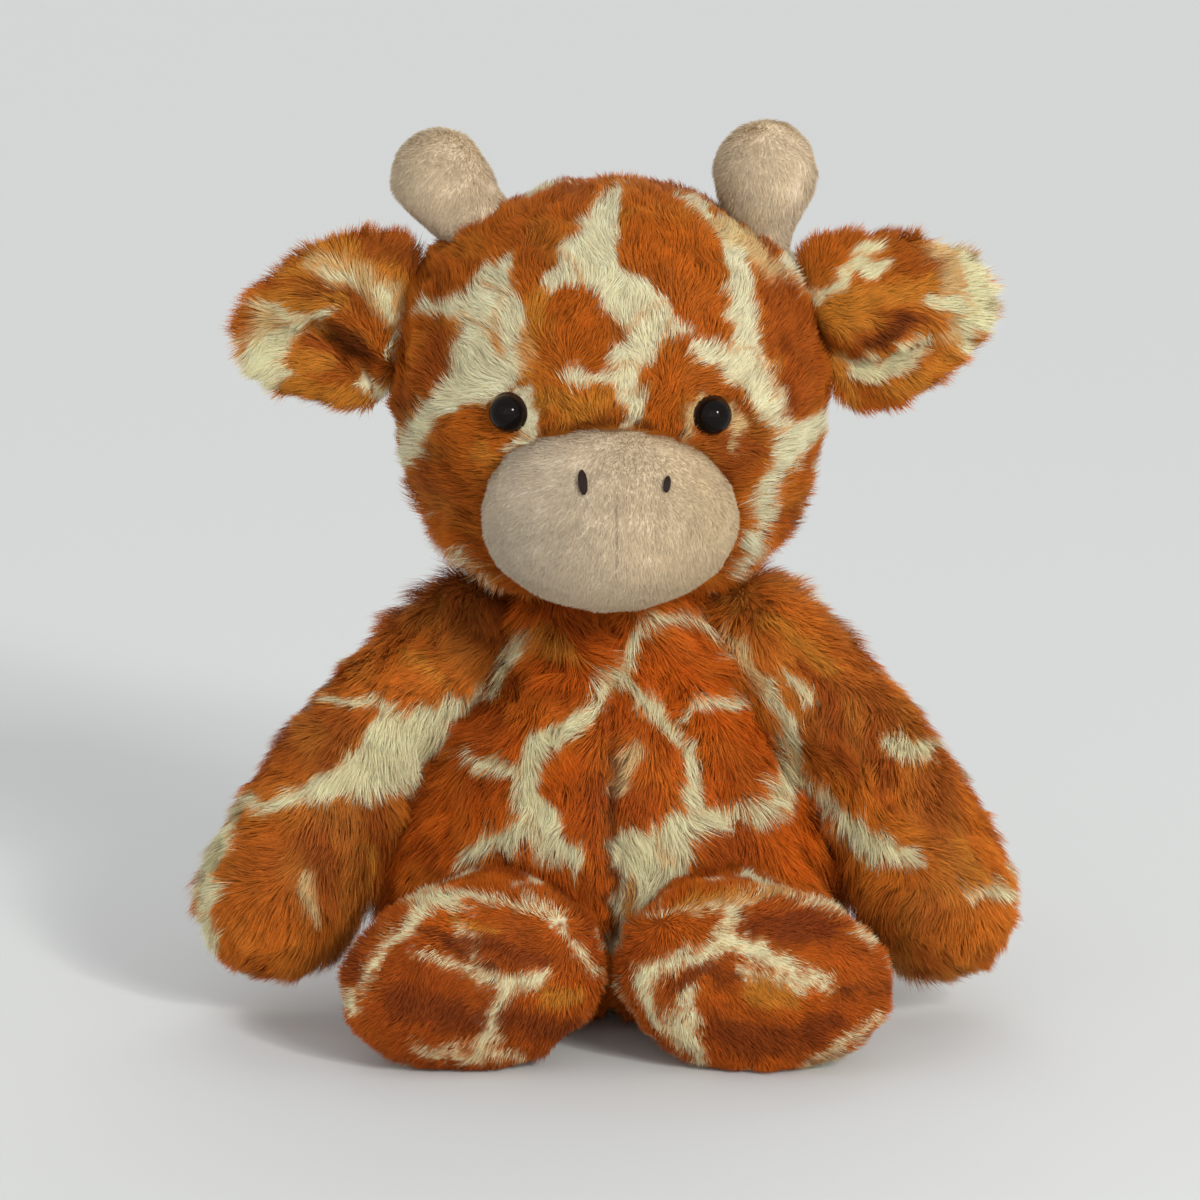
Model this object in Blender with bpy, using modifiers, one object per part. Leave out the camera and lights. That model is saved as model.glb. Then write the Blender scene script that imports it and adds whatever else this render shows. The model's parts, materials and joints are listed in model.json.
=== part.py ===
"""Seated plush giraffe: sewn skins, their fillings, eyes, ears, horns and soles, in metres, +Z up.

The toy faces -Y and its own left side is +X. The floor is z = 0.
"""

import math

import bmesh
import bpy
from mathutils import Matrix, Vector

# Fabric and clearances
SKIN = 0.0020
GAP = 0.0003
BALL_GAP = 0.0005
FLAT_CUT = 0.0005
OVERRUN = 0.0200
MERGE = 0.00001

# Body
BODY_HALF_WIDTH = 0.0660
BODY_HALF_DEPTH = 0.0555
BODY_BACK_SHIFT = 0.0225
NECK_BALL = 0.0260
NECK_HEIGHT = 0.1240
NECK_BACK = 0.0160
POUCH_TOP = 0.0200
SEAM_BAND = 0.0018

# Head
HEAD_HALF_WIDTH = 0.0680
HEAD_HALF_DEPTH = 0.0620
HEAD_HALF_HEIGHT = 0.0645
HEAD_ABOVE_NECK = 0.0165
HEAD_FORWARD = 0.0080

# Muzzle, measured from the head's centre
MUZZLE_HALF_WIDTH = 0.0395
MUZZLE_HALF_DEPTH = 0.0310
MUZZLE_HALF_HEIGHT = 0.0285
MUZZLE_DROP = 0.0320
MUZZLE_FORWARD = 0.0520

# Nostrils, measured from the muzzle's centre
NOSTRIL_HALF_WIDTH = 0.0014
NOSTRIL_HALF_DEPTH = 0.0014
NOSTRIL_HALF_HEIGHT = 0.0038
NOSTRIL_RISE = 0.0155
NOSTRIL_RIGHT_OFF = 0.0084
NOSTRIL_LEFT_OFF = 0.0172

# Eyes
EYE_RADIUS = 0.0063
EYE_DOME = 0.0050
EYE_RIM = 0.0006
EYE_OUT = 0.0315
EYE_RISE = 0.0005
STEM_RADIUS = 0.0016
STEM_LENGTH = 0.0085
WASHER_RADIUS = 0.0052
WASHER_THICKNESS = 0.0014
WASHER_DEPTH = 0.0032
EYE_SINK = 0.0008

# Horns
HORN_OUT = 0.0440
HORN_BACK = 0.0020
HORN_FOOT = {"left": 0.0080, "right": 0.0110}
HORN_SINK = 0.0012
HORN_KNOB = 0.0148
HORN_REACH = {"left": 0.0135, "right": 0.0105}

# Ears
EAR_RISE = 0.0180
EAR_LENGTH = 0.0470
EAR_HALF_HEIGHT = 0.0240
EAR_CUP = 0.0090
EAR_BACK_THICKNESS = 0.0030
EAR_LINING_THICKNESS = 0.0025
EAR_LINING_MARGIN = 0.0040
EAR_LINING_START = 0.0070
EAR_ROOT_RADIUS = 0.0045
EAR_ROOT_HALF = 0.0150

# Arms
SHOULDER_OUT = 0.0460
SHOULDER_BACK = 0.0180
SHOULDER_HEIGHT = 0.1190
SHOULDER_BALL = 0.0195
ELBOW_OUT = 0.0420
ELBOW_FORWARD = 0.0090
ELBOW_DROP = 0.0270
HAND_OUT = 0.0610
HAND_FORWARD = 0.0180
HAND_DROP = 0.0810
HAND_RADIUS = 0.0235
ARM_DISH_START = 0.0110
ARM_DISH_REACH = 0.0180

# Legs
HIP_OUT = 0.0370
HIP_FORWARD = 0.0280
HIP_HEIGHT = 0.0295
HIP_BALL = 0.0270
LEG_REACH = 0.04065
FOOT_OUT = 0.0067
FOOT_HALF_WIDTH = 0.0410
FOOT_HALF_HEIGHT = 0.0285
FOOT_DROP = 0.0007
FOOT_EDGE = 0.0030
FOOT_BULGE = 0.0075
SOLE_THICKNESS = 0.0020

# Height, half width, half depth and back shift of each body ring, as shares
BODY_RING_SHARES = (
    (0.000, 0.470, 0.450, 1.160),
    (0.028, 0.710, 0.690, 1.170),
    (0.090, 0.860, 0.845, 1.150),
    (0.190, 0.958, 0.947, 1.085),
    (0.340, 1.000, 1.000, 1.000),
    (0.500, 0.977, 0.983, 0.943),
    (0.640, 0.905, 0.914, 0.886),
    (0.760, 0.800, 0.820, 0.836),
    (0.860, 0.668, 0.702, 0.784),
    (0.930, 0.548, 0.602, 0.745),
    (0.976, 0.440, 0.505, 0.720),
)
NECK_RING_DEGREES = (74, 59, 45, 32, 19)
SEAM_RING_DEGREES = (20, 32, 44, 56)
HORN_FOOT_DEGREES = (150, 120, 96)
HORN_KNOB_DEGREES = (68, 45, 22)
SHOULDER_RING_DEGREES = (160, 136, 112, 90)
HAND_RING_DEGREES = (90, 62, 34, 14)
HIP_RING_DEGREES = (162, 140, 120, 104, 90)
ARM_SWELL_SHARES = ((0.16, 0.00), (0.36, 0.04), (0.56, 0.28), (0.78, 0.70))
LEG_SWELL_SHARES = ((0.16, 0.02), (0.42, 0.20), (0.66, 0.62), (0.86, 0.95))
# How far back from the foot's front each rim ring lies, and how far in, as shares of FOOT_EDGE
FOOT_RIM_SHARES = ((0.60, 0.10), (0.15, 0.45))
FOOT_DOME_DEGREES = (0, 24, 48, 70)
SOLE_DOME_DEGREES = (12, 30, 48, 70)
HORN_RING_SHARES = ((0.35, 0.30), (1.00, 1.00))
EAR_OUTLINE_SHARES = (0.60, 0.90, 1.00, 0.98, 0.86, 0.48)
# The stretch of a half wave that the ear's cup follows from root to tip
EAR_CUP_START_SHARE = 0.15
EAR_CUP_SPAN_SHARE = 0.70
ARM_DISH_SHARE = 0.90
ARM_DISH_NEAR_SHARE = 0.88
MUZZLE_TAPER_SHARE = 0.09
EAR_FOLD_SHARE = 0.55
FOOT_TILT_DEGREES = 13
HORN_LEAN_DEGREES = {"left": 4, "right": 22}
NOSTRIL_TILT_DEGREES = {"left": -8, "right": 6}
LEG_SWING_DEGREES = (-60, -30, 0, 16)
CREASE_DEGREES = 40

BODY_SEGMENTS = 24
BODY_RINGS = 14
ARM_SEGMENTS = 14
LEG_SEGMENTS = 16
HORN_SEGMENTS = 12
CUT_SEGMENTS = 24
MUZZLE_SEGMENTS = 20
MUZZLE_RINGS = 10
NOSTRIL_SEGMENTS = 10
NOSTRIL_RINGS = 8
EYE_SEGMENTS = 16
EYE_DOME_STEPS = 4
WASHER_SEGMENTS = 14
EYE_HOLE_SEGMENTS = 18
EAR_ROWS = 6
EAR_ROOT_SEGMENTS = 12
EAR_ROOT_RINGS = 10

COLOURS = {
    "patterned_fur": ((0.27, 0.065, 0.016), 0.95),
    "tan_pile": ((0.42, 0.31, 0.18), 0.95),
    "fibre_fill": ((0.80, 0.80, 0.78), 1.0),
    "eye_plastic": ((0.012, 0.009, 0.008), 0.08),
    "washer_plastic": ((0.70, 0.70, 0.68), 0.45),
    "brown_thread": ((0.045, 0.018, 0.010), 0.70),
    "seam_thread": ((0.30, 0.14, 0.06), 0.85),
    "pellet_pouch": ((0.55, 0.53, 0.48), 0.80),
}

for old in list(bpy.data.objects):
    bpy.data.objects.remove(old)

scene = bpy.context.scene
toy = bpy.data.collections.new("plush_giraffe")
cutters = bpy.data.collections.new("cutters")
scene.collection.children.link(toy)
scene.collection.children.link(cutters)


def material(name):
    found = bpy.data.materials.get(name)
    if found:
        return found
    made = bpy.data.materials.new(name)
    made.use_nodes = True
    colour, roughness = COLOURS[name]
    shader = made.node_tree.nodes["Principled BSDF"]
    shader.inputs["Base Color"].default_value = (*colour, 1)
    shader.inputs["Roughness"].default_value = roughness
    shader.inputs["Metallic"].default_value = 0
    made.diffuse_color = (*colour, 1)
    return made


def pivot(name, place, parent=None):
    """An empty on a joint's axis."""
    empty = bpy.data.objects.new(name, None)
    empty.empty_display_size = EYE_RADIUS
    toy.objects.link(empty)
    empty.location = place
    if parent:
        empty.parent = parent
        empty.location = place - parent.matrix_world.translation
    bpy.context.view_layer.update()
    return empty


def piece(name, bm, slot, parent=None, group=None):
    """An object from a bmesh whose points are world coordinates."""
    mesh = bpy.data.meshes.new(name)
    bm.to_mesh(mesh)
    bm.free()
    made = bpy.data.objects.new(name, mesh)
    (group or toy).objects.link(made)
    if group is cutters:
        made.hide_render = True
        made.display_type = "WIRE"
    else:
        mesh.materials.append(material(slot))
        mesh.shade_smooth()
        mesh.set_sharp_from_angle(angle=math.radians(CREASE_DEGREES))
    if parent:
        made.parent = parent
        made.location = -parent.matrix_world.translation
    return made


def loft(rings, start_open=False, end_open=False):
    """A skin through rings of points that run anticlockwise round the way from first to last."""
    bm = bmesh.new()
    rows = [[bm.verts.new(p) for p in ring] for ring in rings]
    count = len(rows[0])
    for low, high in zip(rows, rows[1:]):
        for i in range(count):
            j = (i + 1) % count
            bm.faces.new((low[i], low[j], high[j], high[i]))
    for row, is_open, turned in ((rows[0], start_open, True), (rows[-1], end_open, False)):
        if is_open:
            continue
        middle = bm.verts.new(sum((v.co for v in row), Vector()) / count)
        for i in range(count):
            j = (i + 1) % count
            bm.faces.new((row[j], row[i], middle) if turned else (row[i], row[j], middle))
    bmesh.ops.recalc_face_normals(bm, faces=bm.faces)
    return bm


def shrunk(bm, inset):
    """The same form, moved in by one thickness everywhere."""
    bm.normal_update()
    places = [v.co - v.normal * (inset * v.calc_shell_factor()) for v in bm.verts]
    for v, place in zip(bm.verts, places):
        v.co = place
    return bm


def oval(centre, across, along, half_across, half_along, count, turn=0.0):
    """Points of an ellipse in the plane of two unit vectors."""
    points = []
    for i in range(count):
        a = 2 * math.pi * i / count
        u = half_across * math.cos(a)
        v = half_along * math.sin(a)
        u, v = u * math.cos(turn) - v * math.sin(turn), u * math.sin(turn) + v * math.cos(turn)
        points.append(centre + across * u + along * v)
    return points


def blob(half, centre, segments, rings, taper=0.0):
    """An ellipsoid from a unit ball; taper widens it towards its underside."""
    bm = bmesh.new()
    bmesh.ops.create_uvsphere(bm, u_segments=segments, v_segments=rings, radius=1)
    for v in bm.verts:
        wide = half[0] * (1 - taper * v.co.z)
        v.co = Vector((v.co.x * wide, v.co.y * half[1], v.co.z * half[2])) + centre
    return bm


def round_cutter(name, centre, radius, segments=CUT_SEGMENTS):
    """A ball whose facets stay outside the given radius."""
    outside = radius / math.cos(math.pi / segments) ** 2
    bm = blob((outside, outside, outside), centre, segments, segments // 2)
    return piece(name, bm, None, group=cutters)


def box_cutter(name, low, high):
    bm = bmesh.new()
    bmesh.ops.create_cube(bm, size=1)
    span = high - low
    middle = (high + low) / 2
    for v in bm.verts:
        v.co = Vector(v.co[i] * span[i] for i in range(3)) + middle
    return piece(name, bm, None, group=cutters)


def cut(target, tool, kind="DIFFERENCE"):
    made = target.modifiers.new(kind.lower() + "_" + tool.name, "BOOLEAN")
    made.operation = kind
    made.object = tool
    made.solver = "EXACT"


def shell(target, thickness=SKIN):
    """Fabric of one thickness, grown inwards."""
    made = target.modifiers.new("fabric", "SOLIDIFY")
    made.thickness = thickness
    made.offset = -1
    made.use_even_offset = True


def turned(name, profile, slot, steps, place, aim):
    """A Screw of (radius, height) points whose +Z looks along aim, fixed to the head."""
    mesh = bpy.data.meshes.new(name)
    points = [(r, 0, z) for r, z in profile]
    edges = [(i, i + 1) for i in range(len(points) - 1)]
    mesh.from_pydata(points, edges, [])
    made = bpy.data.objects.new(name, mesh)
    toy.objects.link(made)
    mesh.materials.append(material(slot))
    screw = made.modifiers.new("turn", "SCREW")
    screw.axis = "Z"
    screw.angle = 2 * math.pi
    screw.steps = steps
    screw.render_steps = steps
    screw.use_merge_vertices = True
    screw.merge_threshold = MERGE
    made.rotation_mode = "QUATERNION"
    made.rotation_quaternion = Vector((0, 0, 1)).rotation_difference(aim)
    made.parent = head_pivot
    made.location = place - head_pivot.matrix_world.translation


X = Vector((1, 0, 0))
Y = Vector((0, 1, 0))
Z = Vector((0, 0, 1))

NECK = Vector((0, NECK_BACK, NECK_HEIGHT))
HEAD = Vector((0, HEAD_FORWARD, NECK_HEIGHT + HEAD_ABOVE_NECK + HEAD_HALF_HEIGHT))
MUZZLE = HEAD + Vector((0, -MUZZLE_FORWARD, -MUZZLE_DROP))
NECK_SOCKET = NECK_BALL + BALL_GAP + SEAM_BAND + GAP


def body_rings():
    """Rings of the pear-shaped body from its seat up and over the neck ball."""
    rings = []
    rise = NECK_HEIGHT + FLAT_CUT
    for height, width, depth, back in BODY_RING_SHARES:
        centre = Vector((0, back * BODY_BACK_SHIFT, height * rise - FLAT_CUT))
        half_width = width * BODY_HALF_WIDTH
        half_depth = depth * BODY_HALF_DEPTH
        rings.append(oval(centre, X, Y, half_width, half_depth, BODY_SEGMENTS))
    for angle in NECK_RING_DEGREES:
        a = math.radians(angle)
        centre = NECK + Z * (NECK_BALL * math.cos(a))
        flat = NECK_BALL * math.sin(a)
        rings.append(oval(centre, X, Y, flat, flat, BODY_SEGMENTS))
    return rings


def foot_dome(foot, tilt, angles):
    """Rings of the foot's bulging front, from its edge at 0 degrees towards its middle at 90."""
    rings = []
    for angle in angles:
        a = math.radians(angle)
        centre = foot - Y * (FOOT_BULGE * math.sin(a))
        half_wide = (FOOT_HALF_WIDTH - FOOT_EDGE) * math.cos(a)
        half_high = (FOOT_HALF_HEIGHT - FOOT_EDGE) * math.cos(a)
        rings.append(oval(centre, X, Z, half_wide, half_high, LEG_SEGMENTS, -tilt))
    return rings


def outward_of(offset, half):
    """The way out of an ellipsoid at a point measured from its centre."""
    return Vector(offset[i] / half[i] ** 2 for i in range(3)).normalized()


def surface_point(centre, half, offset, missing, sign):
    """The ellipsoid's point whose missing coordinate is found from the other two, and the way out there."""
    share = 1 - sum((offset[i] / half[i]) ** 2 for i in range(3) if i != missing)
    place = Vector(offset)
    place[missing] = sign * half[missing] * math.sqrt(share)
    return centre + place, outward_of(place, half)


# Body, its filling and the pellet pouch in the seat
floor_cut = box_cutter(
    "floor_cut",
    Vector((-2 * BODY_HALF_WIDTH, -2 * BODY_HALF_WIDTH, -OVERRUN)),
    Vector((2 * BODY_HALF_WIDTH, 2 * BODY_HALF_WIDTH, 0)),
)
body_skin = piece("body_skin", loft(body_rings(), end_open=True), "patterned_fur")
shell(body_skin)
cut(body_skin, floor_cut)

lining = SKIN + GAP
body_fill = piece("body_fill", shrunk(loft(body_rings()), lining), "fibre_fill")
pouch_lid = box_cutter(
    "above_pouch",
    Vector((-2 * BODY_HALF_WIDTH, -2 * BODY_HALF_WIDTH, POUCH_TOP)),
    Vector((2 * BODY_HALF_WIDTH, 2 * BODY_HALF_WIDTH, 2 * NECK_HEIGHT)),
)
below_fill = box_cutter(
    "below_fill",
    Vector((-2 * BODY_HALF_WIDTH, -2 * BODY_HALF_WIDTH, -OVERRUN)),
    Vector((2 * BODY_HALF_WIDTH, 2 * BODY_HALF_WIDTH, POUCH_TOP + GAP)),
)
cut(body_fill, below_fill)
pellet_pouch = piece("pellet_pouch", shrunk(loft(body_rings()), lining), "pellet_pouch")
cut(pellet_pouch, pouch_lid)

# Stitched seam ring round the neck ball
neck_pivot = pivot("neck_pivot", NECK)
head_pivot = pivot("head_pivot", NECK, neck_pivot)
band_outer = NECK_BALL + BALL_GAP + SEAM_BAND
band = []
for angle in SEAM_RING_DEGREES:
    a = math.radians(angle)
    flat = band_outer * math.sin(a)
    band.append(oval(NECK + Z * (band_outer * math.cos(a)), X, Y, flat, flat, BODY_SEGMENTS))
band.reverse()
neck_seam = piece("neck_seam", loft(band, start_open=True, end_open=True), "seam_thread", neck_pivot)
shell(neck_seam, SEAM_BAND)

# Head and its filling
head_half = (HEAD_HALF_WIDTH, HEAD_HALF_DEPTH, HEAD_HALF_HEIGHT)
head_skin = piece("head_skin", blob(head_half, HEAD, BODY_SEGMENTS, BODY_RINGS), "patterned_fur", head_pivot)
shell(head_skin)
neck_socket = round_cutter("neck_socket", NECK, NECK_SOCKET)
cut(head_skin, neck_socket)
head_inner = shrunk(blob(head_half, HEAD, BODY_SEGMENTS, BODY_RINGS), lining)
head_fill = piece("head_fill", head_inner, "fibre_fill", head_pivot)
neck_hollow = round_cutter("neck_hollow", NECK, NECK_SOCKET + GAP, ARM_SEGMENTS)
cut(head_fill, neck_hollow)

# Muzzle dome, its filling and the two nostrils
muzzle_half = (MUZZLE_HALF_WIDTH, MUZZLE_HALF_DEPTH, MUZZLE_HALF_HEIGHT)
muzzle_skin = piece(
    "muzzle_skin",
    blob(muzzle_half, MUZZLE, MUZZLE_SEGMENTS, MUZZLE_RINGS, MUZZLE_TAPER_SHARE),
    "tan_pile",
    head_pivot,
)
shell(muzzle_skin)
head_outside = piece(
    "head_outside",
    shrunk(blob(head_half, HEAD, BODY_SEGMENTS, BODY_RINGS), -GAP),
    None,
    group=cutters,
)
cut(muzzle_skin, head_outside)
muzzle_fill = piece(
    "muzzle_fill",
    shrunk(blob(muzzle_half, MUZZLE, MUZZLE_SEGMENTS, MUZZLE_RINGS, MUZZLE_TAPER_SHARE), lining),
    "fibre_fill",
    head_pivot,
)
cut(muzzle_fill, head_outside)
muzzle_outside = piece(
    "muzzle_outside",
    shrunk(blob(muzzle_half, MUZZLE, MUZZLE_SEGMENTS, MUZZLE_RINGS, MUZZLE_TAPER_SHARE), -GAP),
    None,
    group=cutters,
)
for side_name, out in (("left", NOSTRIL_LEFT_OFF), ("right", -NOSTRIL_RIGHT_OFF)):
    wide = MUZZLE_HALF_WIDTH * (1 - MUZZLE_TAPER_SHARE * NOSTRIL_RISE / MUZZLE_HALF_HEIGHT)
    there = (wide, MUZZLE_HALF_DEPTH, MUZZLE_HALF_HEIGHT)
    seat, lean = surface_point(MUZZLE, there, (out, 0, NOSTRIL_RISE), 1, -1)
    nostril_half = (NOSTRIL_HALF_WIDTH, NOSTRIL_HALF_DEPTH, NOSTRIL_HALF_HEIGHT)
    bm = blob(nostril_half, Vector(), NOSTRIL_SEGMENTS, NOSTRIL_RINGS)
    turn = (-Y).rotation_difference(lean).to_matrix().to_4x4()
    roll = Matrix.Rotation(math.radians(NOSTRIL_TILT_DEGREES[side_name]), 4, "Y")
    bmesh.ops.transform(bm, matrix=Matrix.Translation(seat) @ turn @ roll, verts=bm.verts)
    nostril = piece("nostril_" + side_name, bm, "brown_thread", head_pivot)
    cut(nostril, muzzle_outside)

for side_name, side in (("left", 1), ("right", -1)):
    # Eye with its stem through the head skin and a lock washer behind it
    seat, outward = surface_point(HEAD, head_half, (side * EYE_OUT, 0, EYE_RISE), 1, -1)
    dome = []
    for i in range(EYE_DOME_STEPS + 1):
        a = math.pi / 2 * i / EYE_DOME_STEPS
        dome.append((EYE_RADIUS * math.sin(a), EYE_RIM + EYE_DOME * math.cos(a)))
    profile = [*dome, (EYE_RADIUS, 0), (STEM_RADIUS, 0), (STEM_RADIUS, -STEM_LENGTH), (0, -STEM_LENGTH)]
    eye_place = seat + outward * (GAP - EYE_SINK)
    turned("eye_" + side_name, profile, "eye_plastic", EYE_SEGMENTS, eye_place, outward)
    bore = STEM_RADIUS + GAP
    ring = [
        (bore, 0),
        (WASHER_RADIUS, 0),
        (WASHER_RADIUS, -WASHER_THICKNESS),
        (bore, -WASHER_THICKNESS),
        (bore, 0),
    ]
    washer_place = seat - outward * WASHER_DEPTH
    turned("eye_washer_" + side_name, ring, "washer_plastic", WASHER_SEGMENTS, washer_place, outward)
    turn = Z.rotation_difference(outward).to_matrix().to_4x4()
    for name, radius, front, depth, target in (
        ("eye_dimple_", EYE_RADIUS + GAP, OVERRUN, EYE_SINK, head_skin),
        ("stem_hole_", bore, OVERRUN, STEM_LENGTH, head_skin),
        ("washer_hollow_", WASHER_RADIUS + GAP, OVERRUN, STEM_LENGTH + EYE_SINK + GAP, head_fill),
    ):
        bm = bmesh.new()
        bmesh.ops.create_cone(
            bm,
            cap_ends=True,
            segments=EYE_HOLE_SEGMENTS,
            radius1=radius,
            radius2=radius,
            depth=front + depth,
        )
        shift = Matrix.Translation(seat) @ turn @ Matrix.Translation(Z * (front - depth) / 2)
        bmesh.ops.transform(bm, matrix=shift, verts=bm.verts)
        cut(target, piece(name + side_name, bm, None, group=cutters))

    # Horn: a club whose round foot stands in a dimple of the head
    crown, outward = surface_point(HEAD, head_half, (side * HORN_OUT, HORN_BACK, 0), 2, 1)
    foot_ball = HORN_FOOT[side_name]
    horn_foot = crown + outward * (foot_ball - HORN_SINK)
    horn_pivot = pivot("horn_pivot_" + side_name, horn_foot, head_pivot)
    lean = math.radians(HORN_LEAN_DEGREES[side_name])
    axis = Vector((side * math.sin(lean), 0, math.cos(lean)))
    over = Y.cross(axis)
    for name, slot in (("horn_", "tan_pile"), ("horn_fill_", "fibre_fill")):
        rings = []
        for angle in HORN_FOOT_DEGREES:
            a = math.radians(angle)
            flat = foot_ball * math.sin(a)
            centre = horn_foot + axis * (foot_ball * math.cos(a))
            rings.append(oval(centre, over, Y, flat, flat, HORN_SEGMENTS))
        for along, swell in HORN_RING_SHARES:
            flat = foot_ball + (HORN_KNOB - foot_ball) * swell
            centre = horn_foot + axis * (along * HORN_REACH[side_name])
            rings.append(oval(centre, over, Y, flat, flat, HORN_SEGMENTS))
        for angle in HORN_KNOB_DEGREES:
            a = math.radians(angle)
            flat = HORN_KNOB * math.sin(a)
            centre = horn_foot + axis * (HORN_REACH[side_name] + HORN_KNOB * math.cos(a))
            rings.append(oval(centre, over, Y, flat, flat, HORN_SEGMENTS))
        if slot == "tan_pile":
            shell(piece(name + side_name, loft(rings, start_open=True), slot, horn_pivot))
        else:
            piece(name + side_name, shrunk(loft(rings), lining), slot, horn_pivot)
    cut(head_skin, round_cutter("horn_dimple_" + side_name, horn_foot, foot_ball + GAP))

    # Ear: a cupped back and its lining, gathered into a rolled root
    seat, outward = surface_point(HEAD, head_half, (0, 0, EAR_RISE), 0, side)
    root = seat + outward * (EAR_ROOT_RADIUS + GAP)
    ear_pivot = pivot("ear_pivot_" + side_name, root, head_pivot)
    line = outward.cross(Y) * -side
    columns = len(EAR_OUTLINE_SHARES)
    rows = EAR_ROWS
    for name, start, margin, shift, thickness, facing in (
        ("ear_back_", 0.0, 0.0, 0.0, EAR_BACK_THICKNESS, 1),
        ("ear_lining_", EAR_LINING_START, EAR_LINING_MARGIN, BALL_GAP, EAR_LINING_THICKNESS, -1),
    ):
        bm = bmesh.new()
        grid = []
        for i, outline in enumerate(EAR_OUTLINE_SHARES):
            u = i / (columns - 1)
            reach = start + (EAR_LENGTH - start - margin / 2) * u
            half = outline * EAR_HALF_HEIGHT - margin / 2
            column = []
            for j in range(rows + 1):
                v = 2 * j / rows - 1
                wave = math.sin(math.pi * (EAR_CUP_START_SHARE + EAR_CUP_SPAN_SHARE * u))
                cup = EAR_CUP * v**2 * (1 + EAR_FOLD_SHARE * v) * wave
                place = root + X * (side * reach) + Z * (half * v) - Y * (cup + shift)
                column.append(bm.verts.new(place))
            grid.append(column)
        for left, right in zip(grid, grid[1:]):
            for j in range(rows):
                corners = (left[j], right[j], right[j + 1], left[j + 1])
                bm.faces.new(corners if side * facing < 0 else corners[::-1])
        ear = piece(name + side_name, bm, "patterned_fur", ear_pivot)
        shell(ear, thickness)
        ear.modifiers["fabric"].offset = 1
        if facing > 0:
            root_half = (EAR_ROOT_RADIUS, EAR_ROOT_RADIUS, EAR_ROOT_HALF)
            bm = blob(root_half, Vector(), EAR_ROOT_SEGMENTS, EAR_ROOT_RINGS)
            turn = Z.rotation_difference(line).to_matrix().to_4x4()
            bmesh.ops.transform(bm, matrix=Matrix.Translation(root) @ turn, verts=bm.verts)
            cut(ear, piece("ear_root_" + side_name, bm, None, group=cutters), "UNION")

    # Arm: a ball in the armhole, then a swelling sleeve to the hand
    shoulder = Vector((side * SHOULDER_OUT, SHOULDER_BACK, SHOULDER_HEIGHT))
    elbow = shoulder + Vector((side * ELBOW_OUT, -ELBOW_FORWARD, -ELBOW_DROP))
    hand = shoulder + Vector((side * HAND_OUT, -HAND_FORWARD, -HAND_DROP))
    arm_pivot = pivot("shoulder_pivot_" + side_name, shoulder)
    for name, slot in (("arm_skin_", "patterned_fur"), ("arm_fill_", "fibre_fill")):
        rings = []
        way = (elbow - shoulder).normalized()
        flat_way = (Y - way * way.dot(Y)).normalized()
        for angle in SHOULDER_RING_DEGREES:
            a = math.radians(angle)
            flat = SHOULDER_BALL * math.sin(a)
            centre = shoulder + way * (SHOULDER_BALL * math.cos(a))
            rings.append(oval(centre, flat_way.cross(way), flat_way, flat, flat, ARM_SEGMENTS))
        for t, swell in ARM_SWELL_SHARES:
            centre = shoulder * (1 - t) ** 2 + elbow * (2 * t * (1 - t)) + hand * t**2
            way = ((elbow - shoulder) * (1 - t) + (hand - elbow) * t).normalized()
            flat_way = (Y - way * way.dot(Y)).normalized()
            flat = SHOULDER_BALL + (HAND_RADIUS - SHOULDER_BALL) * swell
            rings.append(oval(centre, flat_way.cross(way), flat_way, flat, flat, ARM_SEGMENTS))
        way = (hand - elbow).normalized()
        flat_way = (Y - way * way.dot(Y)).normalized()
        for angle in HAND_RING_DEGREES:
            a = math.radians(angle)
            flat = HAND_RADIUS * math.sin(a)
            centre = hand + way * (HAND_RADIUS * math.cos(a))
            rings.append(oval(centre, flat_way.cross(way), flat_way, flat, flat, ARM_SEGMENTS))
        if slot == "patterned_fur":
            shell(piece(name + side_name, loft(rings, start_open=True), slot, arm_pivot))
        else:
            piece(name + side_name, shrunk(loft(rings), lining), slot, arm_pivot)
    # The swinging arm's room in the body's side: a dish round the shoulder's axis
    for name, grow, carved in (("arm_dish_", GAP, body_skin), ("arm_dish_fill_", 2 * GAP, body_fill)):
        near = (SHOULDER_BALL * ARM_DISH_NEAR_SHARE + grow) / math.cos(math.pi / CUT_SEGMENTS)
        bm = bmesh.new()
        bmesh.ops.create_cone(
            bm,
            cap_ends=True,
            segments=CUT_SEGMENTS,
            radius1=near,
            radius2=near + (ARM_DISH_START + ARM_DISH_REACH) * ARM_DISH_SHARE,
            depth=ARM_DISH_START + ARM_DISH_REACH,
        )
        middle = shoulder + X * (side * (ARM_DISH_REACH - ARM_DISH_START) / 2 - side * grow)
        turn = Z.rotation_difference(X * side).to_matrix().to_4x4()
        bmesh.ops.transform(bm, matrix=Matrix.Translation(middle) @ turn, verts=bm.verts)
        cut(carved, piece(name + side_name, bm, None, group=cutters))
    cut(body_skin, round_cutter("armhole_" + side_name, shoulder, SHOULDER_BALL + GAP))
    cut(body_fill, round_cutter("arm_hollow_" + side_name, shoulder, SHOULDER_BALL + 2 * GAP, ARM_SEGMENTS))

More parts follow.
